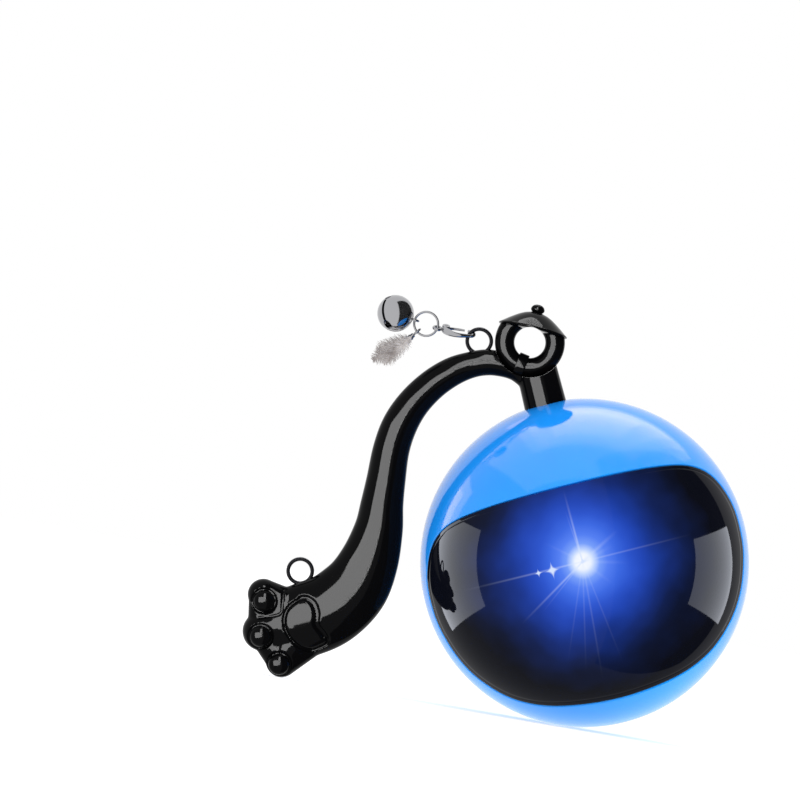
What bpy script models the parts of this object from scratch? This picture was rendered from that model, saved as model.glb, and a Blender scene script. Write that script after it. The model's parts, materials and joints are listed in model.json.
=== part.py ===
"""Self rolling cat ball: a two-part ball with a smoked lens, a drive with a swinging weight
inside, and a soft cat's tail with a ring, a hat and a bell charm on it.

The pieces are drawn in the ball's own frame: its centre is the zero point, +Z runs along the
neck and the lens looks along -Y. The whole toy then leans over until its paw rests on the floor.
All lengths are in metres.
"""
import math

import bmesh
import bpy
from mathutils import Matrix, Vector

# Ball shells
BALL_RADIUS = 0.0375
SHELL_WALL = 0.0022
SEAM_GAP = 0.0003
LIP_WALL = 0.0010
LIP_REACH = 0.0020
FIT_GAP = 0.0003
RUN_GAP = 0.00015
OVERRUN = 0.0020

# Lens
LENS_WALL = 0.0030
LENS_FLANGE_WALL = 0.0013
LENS_FLANGE_REACH = 0.0016
LENS_FLANGE_ROOT = 0.0020

# Neck, ring and strap
NECK_RADIUS_LOW = 0.0049
NECK_RADIUS_TOP = 0.0046
RING_RISE = 0.0143
RING_RADIUS = 0.0080
RING_HOLE_RADIUS = 0.00353
STRAP_WALL = 0.00055
STRAP_WIDTH = 0.0023
STRAP_ANGLE = math.radians(234)

# Tail and paw
TAIL_SPAN = 0.0665
TAIL_DROP = 0.0490
PAW_WIDTH = 0.0174
PAW_DEPTH = 0.0108
PAD_HEIGHT = 0.0120
PAD_RISE = 0.0006
BEAN_RADIUS = 0.0024

# Hat
HAT_RADIUS = 0.0081
HAT_HEIGHT = 0.0041
HAT_BRIM_RISE = 0.00285
HAT_KNOB_RADIUS = 0.00165
HAT_KNOB_HEIGHT = 0.0020
HAT_TILT = math.radians(27.6)
HAT_LEAN_BACK = math.radians(-5)

# Wire loops set in the tail
EYELET_RADIUS = 0.0032
EYELET_WIRE = 0.00038
EYELET_SINK = 0.0009
EYELET_SHIFT = 0.0019

# Charm: clasp, wire ring, bell and feathers
CLASP_REACH = 0.0074
CLASP_THICKNESS = 0.0016
CLASP_HOOK_RADIUS = 0.0012
CLASP_HOOK_WIRE = 0.00040
CLASP_EYE_RADIUS = 0.00100
CLASP_EYE_WIRE = 0.00034
CLASP_TURN = math.radians(25)
CLASP_ANGLE = math.radians(156)
HOOK_ANGLE = math.radians(130)
GATE_PIN_RADIUS = 0.00030
GATE_KNUCKLE_RADIUS = 0.00066
LINK_RADIUS = 0.0030
LINK_WIRE = 0.00027
LINK_ANGLE = math.radians(145)
BELL_RADIUS = 0.0042
BELL_WALL = 0.00045
BELL_ANGLE = math.radians(147)
BELL_MOUTH_TURN = math.radians(43)
BELL_SLOT_WIDTH = 0.0008
BELL_SLOT_HOLE_RADIUS = 0.0009
BELL_SHANK_RADIUS = 0.00085
BELL_SHANK_WIRE = 0.00028
PELLET_RADIUS = 0.0012
FEATHER_ANGLE = math.radians(218)
FEATHER_SPREAD = math.radians(17)
FEATHER_LENGTH = 0.0100
FEATHER_WIDTH = 0.0042
FEATHER_THICKNESS = 0.0012
FEATHER_SPACING = 0.0016
FEATHER_CAP_RADIUS = 0.0011
FEATHER_CAP_LENGTH = 0.0026

# Swivel of the neck in the ball
PLUG_RADIUS = 0.0028
PLUG_LENGTH = 0.0088
FLANGE_RADIUS = 0.0070
FLANGE_THICKNESS = 0.0014
COLLAR_WALL = 0.0013
COLLAR_LIP = 0.0014

# Charging pocket, socket and button in the rear shell
POCKET_WIDTH = 0.0150
POCKET_HEIGHT = 0.0080
POCKET_DEPTH = 0.0012
POCKET_PAD_WALL = 0.0022
PORT_DROP = 0.0100
SOCKET_WIDTH = 0.0090
SOCKET_HEIGHT = 0.0033
SOCKET_LENGTH = 0.0073
SOCKET_WALL = 0.0004
BUTTON_RISE = 0.0070
BUTTON_RADIUS = 0.0035
BUTTON_FLANGE = 0.0009
BUTTON_TRAVEL = 0.0006
BUTTON_PROUD = 0.0007
SWITCH_WIDTH = 0.0050
SWITCH_HEIGHT = 0.0030
SWITCH_STEM_RADIUS = 0.0013

# Boards
BOARD_THICKNESS = 0.0012
MAIN_BOARD_HEIGHT = 0.0250
LED_BOARD_RADIUS = 0.0120
LED_RADIUS = 0.0025
LED_LENGTH = 0.0048
REFLECTOR_RADIUS = 0.0100
REFLECTOR_HEIGHT = 0.0032
REFLECTOR_WALL = 0.0009

# Drive frame
WEIGHT_RADIUS = 0.0210
WEIGHT_WIDTH = 0.0080
WEIGHT_RUN_GAP = 0.0012
WEIGHT_HUB_RADIUS = 0.0042
FRAME_WALL = 0.0016
FRAME_RADIUS = 0.0268
FRAME_WINDOW_RADIUS = 0.0045
POST_RADIUS = 0.0018
AXLE_RADIUS = 0.0015
BUSH_WALL = 0.0010
BUSH_HEAD = 0.0008
LUG_WIDTH = 0.0070
LUG_REACH = 0.0058

# Gears: module and tooth counts
GEAR_MODULE = 0.0006
PINION_TEETH = 10
WHEEL_TEETH = 30
FINAL_TEETH = 36
GEAR_WIDTH = 0.0022
GEAR_SPACING = 0.0007
GEAR_BACKLASH = 0.00016
GEAR_COVER_WALL = 0.0014
IDLER_PIN_RADIUS = 0.0009
MOTOR_SHAFT_RADIUS = 0.0009
MOTOR_RADIUS = 0.0060
MOTOR_LENGTH = 0.0115
MOTOR_BOSS_RADIUS = 0.0025
MOTOR_BOSS_HEIGHT = 0.0009
MOTOR_AXIS_DISTANCE = 0.0120
IDLER_ANGLE = math.radians(-62)

# Battery
BATTERY_RADIUS = 0.0070
BATTERY_LENGTH = 0.0250
BATTERY_CAP_RADIUS = 0.0024
BATTERY_CAP_HEIGHT = 0.0008
STRAP_BAND_WIDTH = 0.0080
STRAP_BAND_WALL = 0.0012

# Screws
SCREW_RADIUS = 0.0011
SCREW_HEAD_RADIUS = 0.0021
SCREW_HEAD_HEIGHT = 0.0014
SCREW_LENGTH = 0.0090
SCREW_SEAT = 0.0040
FRAME_SCREW_LENGTH = 0.0070
SHELL_SCREW_TOP = (0.0170, 0.0240)
SHELL_SCREW_LOW = (0.0120, -0.0275)
BOSS_WALL = 0.0013
BOSS_LENGTH = 0.0080
RIB_WALL = 0.0014

# How finely round forms are cut into flats
BALL_STEPS = 30
BALL_ARC_STEPS = 7
BALL_INNER_ARC_STEPS = 5
ROUND_STEPS = 16
SMALL_STEPS = 8

# Half of the lens outline seen from the front, as shares of the ball radius, top to bottom
lens_outline_shares = [
    (0.0, 0.495), (0.30, 0.489), (0.56, 0.469), (0.76, 0.425), (0.885, 0.322),
    (0.958, 0.130), (0.965, -0.060), (0.945, -0.200), (0.880, -0.390),
    (0.770, -0.560), (0.600, -0.710), (0.360, -0.805), (0.0, -0.845),
]

# The tail's elbow under the ring: across, up, half width and half depth, as shares of RING_RADIUS
elbow_shares = [
    (-0.325, -1.20, 0.21, 0.27), (-0.44, -0.94, 0.24, 0.31), (-0.63, -0.66, 0.29, 0.34),
    (-0.95, -0.41, 0.35, 0.36), (-1.31, -0.26, 0.375, 0.375),
]

# The tail's run: across as shares of TAIL_SPAN, down as shares of TAIL_DROP, then half width
# and half depth as shares of PAW_WIDTH
tail_shares = [
    (-0.213, -0.035, 0.175, 0.175), (-0.283, -0.045, 0.192, 0.192),
    (-0.361, -0.082, 0.204, 0.204), (-0.438, -0.145, 0.218, 0.218),
    (-0.501, -0.227, 0.235, 0.235), (-0.550, -0.329, 0.243, 0.243),
    (-0.592, -0.459, 0.259, 0.255), (-0.626, -0.567, 0.284, 0.268),
    (-0.659, -0.678, 0.325, 0.282), (-0.716, -0.808, 0.391, 0.293),
    (-0.786, -0.912, 0.451, 0.302), (-0.880, -0.980, 0.483, 0.310),
    (-0.970, -1.000, 0.494, 0.306), (-1.040, -1.004, 0.462, 0.288),
    (-1.105, -1.003, 0.330, 0.230),
]

# Toe lobes: across, up and radius, as shares of PAW_WIDTH from the paw's centre
toe_shares = [(-0.362, 0.454, 0.207), (-0.494, -0.011, 0.259), (-0.339, -0.454, 0.213)]

# Toe beans on the lobes: across and up from the lobe's centre, as shares of PAW_WIDTH
bean_shares = [(-0.010, -0.085), (-0.035, -0.060), (-0.045, -0.030)]

# Outline of the large pad, as shares of PAD_HEIGHT from its centre
pad_outline_shares = [
    (0.120, 0.483), (-0.183, 0.400), (-0.346, 0.200), (-0.367, -0.058), (-0.238, -0.350),
    (-0.029, -0.500), (0.196, -0.492), (0.342, -0.433), (0.333, -0.275), (0.247, -0.058),
    (0.300, 0.150), (0.275, 0.358),
]
pad_centre_shares = (0.069, -0.052)

# Hat profile above its brim, as shares of its radius and of its height
hat_profile_shares = [
    (0.23, 0.985), (0.45, 0.78), (0.66, 0.52), (0.86, 0.235), (0.985, 0.045),
    (0.93, -0.055),
]
knob_profile_shares = [(0.60, 1.0), (0.95, 0.75), (0.95, 0.25)]

INNER_RADIUS = BALL_RADIUS - SHELL_WALL
RING_TUBE = (RING_RADIUS - RING_HOLE_RADIUS) / 2
RING_MID_RADIUS = (RING_RADIUS + RING_HOLE_RADIUS) / 2
RING_CENTRE = Vector((0, 0, BALL_RADIUS + RING_RISE))
PAW_CENTRE = Vector((-TAIL_SPAN, 0, BALL_RADIUS + RING_RISE - TAIL_DROP))

# Turns that lay a local Z axis along the ball's axes
TO_X = (math.pi / 2, 0, math.pi / 2)
TO_Y = (-math.pi / 2, 0, 0)
TO_FRONT = (math.pi / 2, 0, 0)
UPRIGHT = (0, 0, 0)

for old in list(bpy.data.objects):
    bpy.data.objects.remove(old, do_unlink=True)

parts = bpy.data.collections.new("self_rolling_cat_ball")
tools = bpy.data.collections.new("cutters")
bpy.context.scene.collection.children.link(parts)
bpy.context.scene.collection.children.link(tools)


# Materials

def material(name, colour, roughness, metallic=0.0, transmission=0.0):
    """A plain surface with the colour, gloss and metal share of the real one."""
    made = bpy.data.materials.new(name)
    made.use_nodes = True
    surface = made.node_tree.nodes["Principled BSDF"]
    surface.inputs["Base Color"].default_value = (*colour, 1.0)
    surface.inputs["Roughness"].default_value = roughness
    surface.inputs["Metallic"].default_value = metallic
    surface.inputs["Transmission Weight"].default_value = transmission
    made.diffuse_color = (*colour, 1.0)
    return made


BLUE_PLASTIC = ("blue_plastic", (0.05, 0.35, 1.0), 0.12)
SMOKED_PLASTIC = ("smoked_plastic", (0.01, 0.01, 0.016), 0.05)
BLACK_RUBBER = ("black_rubber", (0.008, 0.008, 0.009), 0.18)
BLACK_PLASTIC = ("black_plastic", (0.007, 0.007, 0.008), 0.10)
WHITE_PLASTIC = ("white_plastic", (0.78, 0.78, 0.76), 0.40)
STEEL = ("steel", (0.62, 0.62, 0.63), 0.22, 1.0)
DARK_STEEL = ("dark_steel", (0.16, 0.16, 0.17), 0.20, 1.0)
BRASS = ("brass", (0.78, 0.58, 0.26), 0.30, 1.0)
BOARD_GREEN = ("board_green", (0.02, 0.20, 0.08), 0.35)
BATTERY_WRAP = ("battery_wrap", (0.05, 0.10, 0.40), 0.35)
CLEAR_LED = ("clear_led", (0.30, 0.50, 1.0), 0.05, 0.0, 0.6)
GREY_DOWN = ("grey_down", (0.42, 0.38, 0.36), 0.90)


# Frames that carry the pieces

def lowest_toe():
    """Centre and radius of the toe lobe that stands on the floor."""
    across, up, radius = toe_shares[-1]
    centre = PAW_CENTRE + Vector((across, 0, up)) * PAW_WIDTH
    return centre, radius * PAW_WIDTH


def rest_lean():
    """How far the neck leans over when the ball and the lowest toe stand on one floor."""
    centre, radius = lowest_toe()
    reach = math.hypot(centre.x, centre.z)
    below = math.atan2(-centre.z, -centre.x)
    return math.asin((BALL_RADIUS - radius) / reach) - below


LEAN = rest_lean()
TILT = Matrix.Rotation(-LEAN, 4, "Y")


def ball_offset():
    """Moves the ball along X so that the toy's outline is centred over the zero point."""
    across, up, radius = toe_shares[1]
    toe = TILT @ (PAW_CENTRE + Vector((across, 0, up)) * PAW_WIDTH)
    return -(toe.x - radius * PAW_WIDTH + BALL_RADIUS) / 2


def empty(name, parent=None, location=(0, 0, 0)):
    """An empty that carries one body, on that body's joint axis."""
    made = bpy.data.objects.new(name, None)
    made.empty_display_size = BALL_RADIUS / 4
    made.location = location
    made.parent = parent
    parts.objects.link(made)
    return made


ball = empty("ball_frame", None, (ball_offset(), 0, BALL_RADIUS))
ball.rotation_euler = (0, -LEAN, 0)


def carry(piece, pivot=None):
    """Hangs a piece, placed in the ball's frame, on the ball or on a moving body's pivot."""
    carrier = pivot or ball
    piece.parent = carrier
    if carrier is not ball:
        piece.location = Vector(piece.location) - Vector(carrier.location)
    return piece


# Makers of plain forms

def settle(piece, name):
    """Names a new object and moves it from the scene to the collection of parts."""
    piece.name = name
    for holder in list(piece.users_collection):
        holder.objects.unlink(piece)
    parts.objects.link(piece)
    return piece


def finish(piece, look, pivot=None, sharp=40):
    """Gives a piece its material, smooth round faces and its carrier."""
    made = bpy.data.materials.get(look[0]) or material(*look)
    piece.data.materials.clear()
    piece.data.materials.append(made)
    if piece.type == "MESH":
        piece.data.shade_smooth()
        piece.data.set_sharp_from_angle(angle=math.radians(sharp))
    return carry(piece, pivot)


def as_tool(piece):
    """Keeps a shape as a cutter or filler: it is used by others and never shown."""
    parts.objects.unlink(piece)
    tools.objects.link(piece)
    piece.hide_render = True
    piece.display_type = "WIRE"
    if piece.parent is None:
        piece.parent = ball
    return piece


def combine(piece, other, operation):
    """Adds one exact Boolean step to a piece."""
    if piece.parent is None:
        piece.parent = ball
    step = piece.modifiers.new(operation.lower(), "BOOLEAN")
    step.operation = operation
    step.solver = "EXACT"
    step.object = other if other.users_collection[0] is tools else as_tool(other)
    return piece


def cut(piece, *others):
    for other in others:
        combine(piece, other, "DIFFERENCE")
    return piece


def join(piece, *others):
    for other in others:
        combine(piece, other, "UNION")
    return piece


def keep_common(piece, other):
    return combine(piece, other, "INTERSECT")


def cylinder(name, radius, length, centre, turn=UPRIGHT, steps=ROUND_STEPS):
    bpy.ops.mesh.primitive_cylinder_add(
        vertices=steps, radius=radius, depth=length, location=centre, rotation=turn)
    return settle(bpy.context.object, name)


def cone(name, radius_low, radius_top, length, centre, turn=UPRIGHT, steps=ROUND_STEPS):
    bpy.ops.mesh.primitive_cone_add(
        vertices=steps, radius1=radius_low, radius2=radius_top, depth=length,
        location=centre, rotation=turn)
    return settle(bpy.context.object, name)


def block(name, size, centre, turn=UPRIGHT):
    bpy.ops.mesh.primitive_cube_add(size=1, location=centre, rotation=turn)
    made = settle(bpy.context.object, name)
    for corner in made.data.vertices:
        corner.co = Vector(a * b for a, b in zip(corner.co, size))
    return made


def ball_form(name, radius, centre, stretch=(1, 1, 1), steps=SMALL_STEPS):
    bpy.ops.mesh.primitive_uv_sphere_add(
        segments=steps, ring_count=steps // 2, radius=radius, location=centre)
    made = settle(bpy.context.object, name)
    for point in made.data.vertices:
        point.co = Vector(a * b for a, b in zip(point.co, stretch))
    return made


def ring_form(name, mid_radius, tube, centre, turn=TO_FRONT, steps=ROUND_STEPS, sides=8):
    bpy.ops.mesh.primitive_torus_add(
        major_radius=mid_radius, minor_radius=tube, major_segments=steps,
        minor_segments=sides, location=centre, rotation=turn)
    return settle(bpy.context.object, name)


def turned(name, profile, centre, turn=UPRIGHT, steps=ROUND_STEPS):
    """A profile of (radius, height) points, top to bottom down its outside, turned round Z."""
    shape = bpy.data.meshes.new(name)
    points = [(radius, 0, height) for radius, height in profile]
    closed = profile[0][0] > 0 or profile[-1][0] > 0
    edges = [(i, i + 1) for i in range(len(points) - 1)]
    if closed:
        edges.append((len(points) - 1, 0))
    shape.from_pydata(points, edges, [])
    made = bpy.data.objects.new(name, shape)
    parts.objects.link(made)
    made.location = centre
    made.rotation_euler = turn
    spin = made.modifiers.new("turn", "SCREW")
    spin.axis = "Z"
    spin.steps = steps
    spin.render_steps = steps
    spin.use_merge_vertices = True
    spin.merge_threshold = BALL_RADIUS / 100000
    spin.use_smooth_shade = True
    return made


def solidified(piece):
    """Turns a curve, or a piece with steps still open on it, into a plain closed mesh."""
    bpy.context.view_layer.update()
    seen = piece.evaluated_get(bpy.context.evaluated_depsgraph_get())
    shape = bpy.data.meshes.new_from_object(seen)
    work = bmesh.new()
    work.from_mesh(shape)
    bmesh.ops.remove_doubles(work, verts=work.verts, dist=BALL_RADIUS / 1000000)
    work.to_mesh(shape)
    work.free()
    made = bpy.data.objects.new(piece.name + "_mesh", shape)
    made.matrix_world = piece.matrix_world.copy()
    name = piece.name
    bpy.data.objects.remove(piece, do_unlink=True)
    parts.objects.link(made)
    made.name = name
    return made


def flat_form(name, outlines, thickness, centre, turn):
    """A flat outline, with any holes as further outlines, thickened evenly about its middle."""
    curve = bpy.data.curves.new(name, "CURVE")
    curve.dimensions = "2D"
    curve.fill_mode = "BOTH"
    curve.extrude = thickness / 2
    for outline in outlines:
        line = curve.splines.new("POLY")
        line.points.add(len(outline) - 1)
        for point, (across, up) in zip(line.points, outline):
            point.co = (across, up, 0, 1)
        line.use_cyclic_u = True
    made = bpy.data.objects.new(name, curve)
    parts.objects.link(made)
    made.location = centre
    made.rotation_euler = turn
    return solidified(made)


def wire(name, points, radius, swell=None, sides=2):
    """A bent wire through points, whose thickness may swell along it."""
    curve = bpy.data.curves.new(name, "CURVE")
    curve.dimensions = "3D"
    curve.bevel_depth = radius
    curve.bevel_resolution = sides
    curve.use_fill_caps = True
    line = curve.splines.new("POLY")
    line.points.add(len(points) - 1)
    for i, place in enumerate(points):
        line.points[i].co = (*place, 1)
        line.points[i].radius = swell[i] if swell else 1
    made = bpy.data.objects.new(name, curve)
    parts.objects.link(made)
    return solidified(made)


def circle(radius, centre=(0, 0), steps=ROUND_STEPS):
    turns = [2 * math.pi * i / steps for i in range(steps)]
    return [(centre[0] + radius * math.cos(a), centre[1] + radius * math.sin(a)) for a in turns]


def slot_outline(width, height, steps=6):
    """A stadium: a rectangle with round ends."""
    radius = height / 2
    reach = width / 2 - radius
    right = [-math.pi / 2 + math.pi * i / steps for i in range(steps + 1)]
    ends = [(reach + radius * math.cos(a), radius * math.sin(a)) for a in right]
    return ends + [(-x, -z) for x, z in ends]


def smooth_run(points, between, closed=False):
    """More points on a smooth line through the given ones (a Catmull-Rom curve)."""
    count = len(points)
    spans = count if closed else count - 1
    run = []
    for i in range(spans):
        if closed:
            near = [points[(i + k) % count] for k in (-1, 0, 1, 2)]
        else:
            near = [points[min(max(i + k, 0), count - 1)] for k in (-1, 0, 1, 2)]
        a, b, c, d = [Vector(p) for p in near]
        for step in range(between):
            t = step / between
            run.append((2 * b + (c - a) * t + (2 * a - 5 * b + 4 * c - d) * t * t
                        + (3 * b - a - 3 * c + d) * t * t * t) / 2)
    if not closed:
        run.append(Vector(points[-1]))
    return run


def loft(name, rings):
    """Skin over rings of points, each ring with as many points, and flat ends."""
    work = bmesh.new()
    rows = [[work.verts.new(point) for point in ring] for ring in rings]
    count = len(rows[0])
    for low, high in zip(rows, rows[1:]):
        for i in range(count):
            j = (i + 1) % count
            work.faces.new((low[i], low[j], high[j], high[i]))
    work.faces.new(list(reversed(rows[0])))
    work.faces.new(rows[-1])
    bmesh.ops.recalc_face_normals(work, faces=work.faces)
    shape = bpy.data.meshes.new(name)
    work.to_mesh(shape)
    work.free()
    made = bpy.data.objects.new(name, shape)
    parts.objects.link(made)
    return made


def arc(radius, start, end, steps):
    """Points (radius from the axis, height) on a circle about the ball's centre."""
    turns = [start + (end - start) * i / steps for i in range(steps + 1)]
    return [(radius * math.cos(a), radius * math.sin(a)) for a in turns]


# Lens outline on the ball

def lens_directions(offset=0.0):
    """Unit directions from the ball's centre to the lens outline, moved outwards by offset."""
    right = [(x, z) for x, z in lens_outline_shares]
    left = [(-x, z) for x, z in reversed(right[1:-1])]
    rim = []
    for point in smooth_run([Vector((x, z, 0)) for x, z in right + left], 2, closed=True):
        depth = math.sqrt(max(0.0, 1 - point.x ** 2 - point.y ** 2))
        rim.append(Vector((point.x, -depth, point.y)).normalized())
    moved = []
    for i, place in enumerate(rim):
        along = rim[(i + 1) % len(rim)] - rim[i - 1]
        outward = along.cross(place).normalized()
        if outward.dot(place - Vector((0, -1, 0))) < 0:
            outward = -outward
        moved.append((place * BALL_RADIUS + outward * offset).normalized())
    return moved


def lens_wedge(name, offset, low, high):
    """The space inside the lens outline between two distances from the ball's centre."""
    rim = lens_directions(offset)
    work = bmesh.new()
    inner = [work.verts.new(place * low) for place in rim]
    outer = [work.verts.new(place * high) for place in rim]
    inner_mid = work.verts.new(Vector((0, -low, 0)))
    outer_mid = work.verts.new(Vector((0, -high, 0)))
    for i in range(len(rim)):
        j = (i + 1) % len(rim)
        work.faces.new((inner[i], inner[j], outer[j], outer[i]))
        work.faces.new((inner_mid, inner[j], inner[i]))
        work.faces.new((outer_mid, outer[i], outer[j]))
    bmesh.ops.recalc_face_normals(work, faces=work.faces)
    shape = bpy.data.meshes.new(name)
    work.to_mesh(shape)
    work.free()
    made = bpy.data.objects.new(name, shape)
    parts.objects.link(made)
    return made


def bowl(name, outer, inner, outer_steps):
    """A thick half ball whose pole points along -Y."""
    profile = list(reversed(arc(outer, 0, math.pi / 2, outer_steps)))
    profile += arc(inner, 0, math.pi / 2, BALL_INNER_ARC_STEPS)
    profile[0] = (0, outer)
    profile[-1] = (0, inner)
    return turned(name, profile, (0, 0, 0), TO_FRONT, BALL_STEPS)


# Neck swivel: flange on the plug, and the collar in the shells that traps it

FLANGE_TOP = math.sqrt(INNER_RADIUS ** 2 - (FLANGE_RADIUS + FIT_GAP) ** 2) - 2 * FIT_GAP
FLANGE_LOW = FLANGE_TOP - FLANGE_THICKNESS
COLLAR_BORE = FLANGE_RADIUS + FIT_GAP
COLLAR_RADIUS = COLLAR_BORE + COLLAR_WALL
NECK_HOLE_RADIUS = NECK_RADIUS_LOW + FIT_GAP


def half_collar(name, side):
    """Half of the collar under the shell, with the lip that carries the flange."""
    low = FLANGE_LOW - FIT_GAP
    top = INNER_RADIUS + SHELL_WALL / 4
    edge = math.sqrt(top ** 2 - COLLAR_RADIUS ** 2)
    profile = [
        (COLLAR_RADIUS, edge), (COLLAR_RADIUS, low - COLLAR_LIP),
        (PLUG_RADIUS + FIT_GAP, low - COLLAR_LIP), (PLUG_RADIUS + FIT_GAP, low),
        (COLLAR_BORE, low), (COLLAR_BORE, edge),
    ]
    ring = turned(name, profile, (0, 0, 0), UPRIGHT, ROUND_STEPS)
    reach = COLLAR_RADIUS + OVERRUN
    away = block(
        name + "_half", (2 * reach, reach, BALL_RADIUS),
        (0, -side * (reach - SEAM_GAP) / 2, BALL_RADIUS))
    return cut(ring, away)


def shell_screw_places():
    return [(side * x, z) for x, z in (SHELL_SCREW_TOP, SHELL_SCREW_LOW) for side in (-1, 1)]


def wall_at(x, z, radius):
    """How far a sphere about the centre stands off the seam plane at (x, z)."""
    return math.sqrt(radius ** 2 - x ** 2 - z ** 2)


BOSS_RADIUS = SCREW_RADIUS + RUN_GAP + BOSS_WALL
HEAD_WELL_RADIUS = SCREW_HEAD_RADIUS + FIT_GAP


def make_front_shell():
    """Front half of the ball with the lens opening and the four screw bosses."""
    half_gap = SEAM_GAP / 2
    profile = list(reversed(arc(BALL_RADIUS, 0, math.pi / 2, BALL_ARC_STEPS)))
    profile[0] = (0, BALL_RADIUS)
    profile[-1] = (BALL_RADIUS, half_gap)
    inner = arc(INNER_RADIUS, 0, math.pi / 2, BALL_INNER_ARC_STEPS)
    inner[0] = (INNER_RADIUS, half_gap)
    inner[-1] = (0, INNER_RADIUS)
    shell = turned("shell_front", profile + inner, (0, 0, 0), TO_FRONT, BALL_STEPS)
    cut(shell, lens_wedge("lens_opening", 0.0, INNER_RADIUS - 3 * SHELL_WALL, 2 * BALL_RADIUS))
    for i, (x, z) in enumerate(shell_screw_places()):
        boss = cylinder(
            f"front_boss_{i + 1}", BOSS_RADIUS, BOSS_LENGTH,
            (x, -half_gap - BOSS_LENGTH / 2, z), TO_Y, SMALL_STEPS)
        low = LIP_REACH + FIT_GAP
        reach = math.hypot(x, z)
        rib = block(
            f"front_rib_{i + 1}", (SHELL_WALL + BALL_RADIUS - reach, BOSS_LENGTH - low, RIB_WALL),
            Vector((x, 0, z)) * (BALL_RADIUS + SHELL_WALL + reach) / (2 * reach)
            - Vector((0, half_gap + (BOSS_LENGTH + low) / 2, 0)), (0, -math.atan2(z, x), 0))
        join(shell, boss, keep_inside(rib))
    join(shell, half_collar("front_collar", -1))
    cut(shell, cylinder(
        "neck_hole", NECK_HOLE_RADIUS, 2 * SHELL_WALL + OVERRUN, (0, 0, BALL_RADIUS), UPRIGHT))
    for i, (x, z) in enumerate(shell_screw_places()):
        depth = SCREW_LENGTH - SCREW_SEAT + OVERRUN
        cut(shell, cylinder(
            f"front_pilot_{i + 1}", SCREW_RADIUS + RUN_GAP, depth + OVERRUN,
            (x, (OVERRUN - depth) / 2, z), TO_Y, SMALL_STEPS))
    return finish(shell, BLUE_PLASTIC)


def keep_inside(boss):
    """Trims a boss to the middle of the shell wall."""
    limit = ball_form(
        boss.name + "_limit", INNER_RADIUS + SHELL_WALL / 2, (0, 0, 0), steps=ROUND_STEPS)
    return keep_common(boss, limit)


def make_rear_shell():
    """Back half of the ball: lip, screw wells, charging pocket and button hole."""
    half_gap = SEAM_GAP / 2
    lip_radius = INNER_RADIUS - 1.5 * FIT_GAP
    profile = list(reversed(arc(BALL_RADIUS, 0, math.pi / 2, BALL_ARC_STEPS)))
    profile[0] = (0, BALL_RADIUS)
    profile[-1] = (BALL_RADIUS, half_gap)
    lip = [
        (lip_radius, half_gap), (lip_radius, -LIP_REACH),
        (lip_radius - LIP_WALL, -LIP_REACH), (lip_radius - LIP_WALL, LIP_REACH),
    ]
    start = math.asin(2 * LIP_REACH / INNER_RADIUS)
    inner = arc(INNER_RADIUS, start, math.pi / 2, BALL_INNER_ARC_STEPS)
    inner[-1] = (0, INNER_RADIUS)
    shell = turned("shell_rear", profile + lip + inner, (0, 0, 0), TO_Y, BALL_STEPS)
    for i, (x, z) in enumerate(shell_screw_places()):
        reach = wall_at(x, z, INNER_RADIUS + SHELL_WALL / 2)
        boss = cylinder(
            f"rear_boss_{i + 1}", HEAD_WELL_RADIUS + BOSS_WALL, reach - half_gap,
            (x, (reach + half_gap) / 2, z), TO_Y, SMALL_STEPS)
        join(shell, keep_inside(boss))
    join(shell, half_collar("rear_collar", 1))
    join(shell, keep_inside(pocket_pad()))
    for i, (x, z) in enumerate(frame_screw_places()):
        join(shell, keep_inside(frame_boss(i, x, z)))
    relief = 2 * (COLLAR_RADIUS + FIT_GAP)
    cut(shell, block(
        "lip_relief", (relief, relief, SHELL_WALL + 4 * LIP_REACH),
        (0, -relief / 2, INNER_RADIUS - 2 * LIP_REACH)))
    bore = COLLAR_BORE + RUN_GAP / 2
    bore_top = math.sqrt(INNER_RADIUS ** 2 - bore ** 2)
    bore_low = FLANGE_LOW - RUN_GAP
    cut(shell, cylinder(
        "collar_bore", bore, bore_top - bore_low, (0, 0, (bore_top + bore_low) / 2)))
    cut(shell, cylinder(
        "rear_neck_hole", NECK_HOLE_RADIUS, 2 * SHELL_WALL + OVERRUN, (0, 0, BALL_RADIUS), UPRIGHT))
    for i, (x, z) in enumerate(shell_screw_places()):
        cut(shell, cylinder(
            f"head_well_{i + 1}", HEAD_WELL_RADIUS, BALL_RADIUS,
            (x, SCREW_SEAT - RUN_GAP + BALL_RADIUS / 2, z), TO_Y, SMALL_STEPS))
        cut(shell, cylinder(
            f"rear_pilot_{i + 1}", SCREW_RADIUS + RUN_GAP, 2 * BALL_RADIUS, (x, 0, z), TO_Y,
            SMALL_STEPS))
    for i, (x, z) in enumerate(frame_screw_places()):
        cut(shell, cylinder(
            f"frame_pilot_{i + 1}", SCREW_RADIUS + RUN_GAP, 2 * FRAME_SCREW_BITE,
            (x, LUG_BACK + FIT_GAP, z), TO_Y, SMALL_STEPS))
    cut_port_and_button(shell)
    return finish(shell, BLUE_PLASTIC)


# Charging pocket and button hole

POCKET_FLOOR = wall_at(POCKET_WIDTH / 2, PORT_DROP, BALL_RADIUS) - POCKET_DEPTH
POCKET_BACK = POCKET_FLOOR - POCKET_PAD_WALL


def pocket_pad():
    """Thick place behind the charging pocket."""
    reach = BALL_RADIUS - POCKET_BACK
    return block(
        "pocket_pad", (POCKET_WIDTH + 2 * SHELL_WALL, reach, POCKET_HEIGHT + 2 * SHELL_WALL),
        (0, POCKET_BACK + reach / 2, -PORT_DROP))


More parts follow.
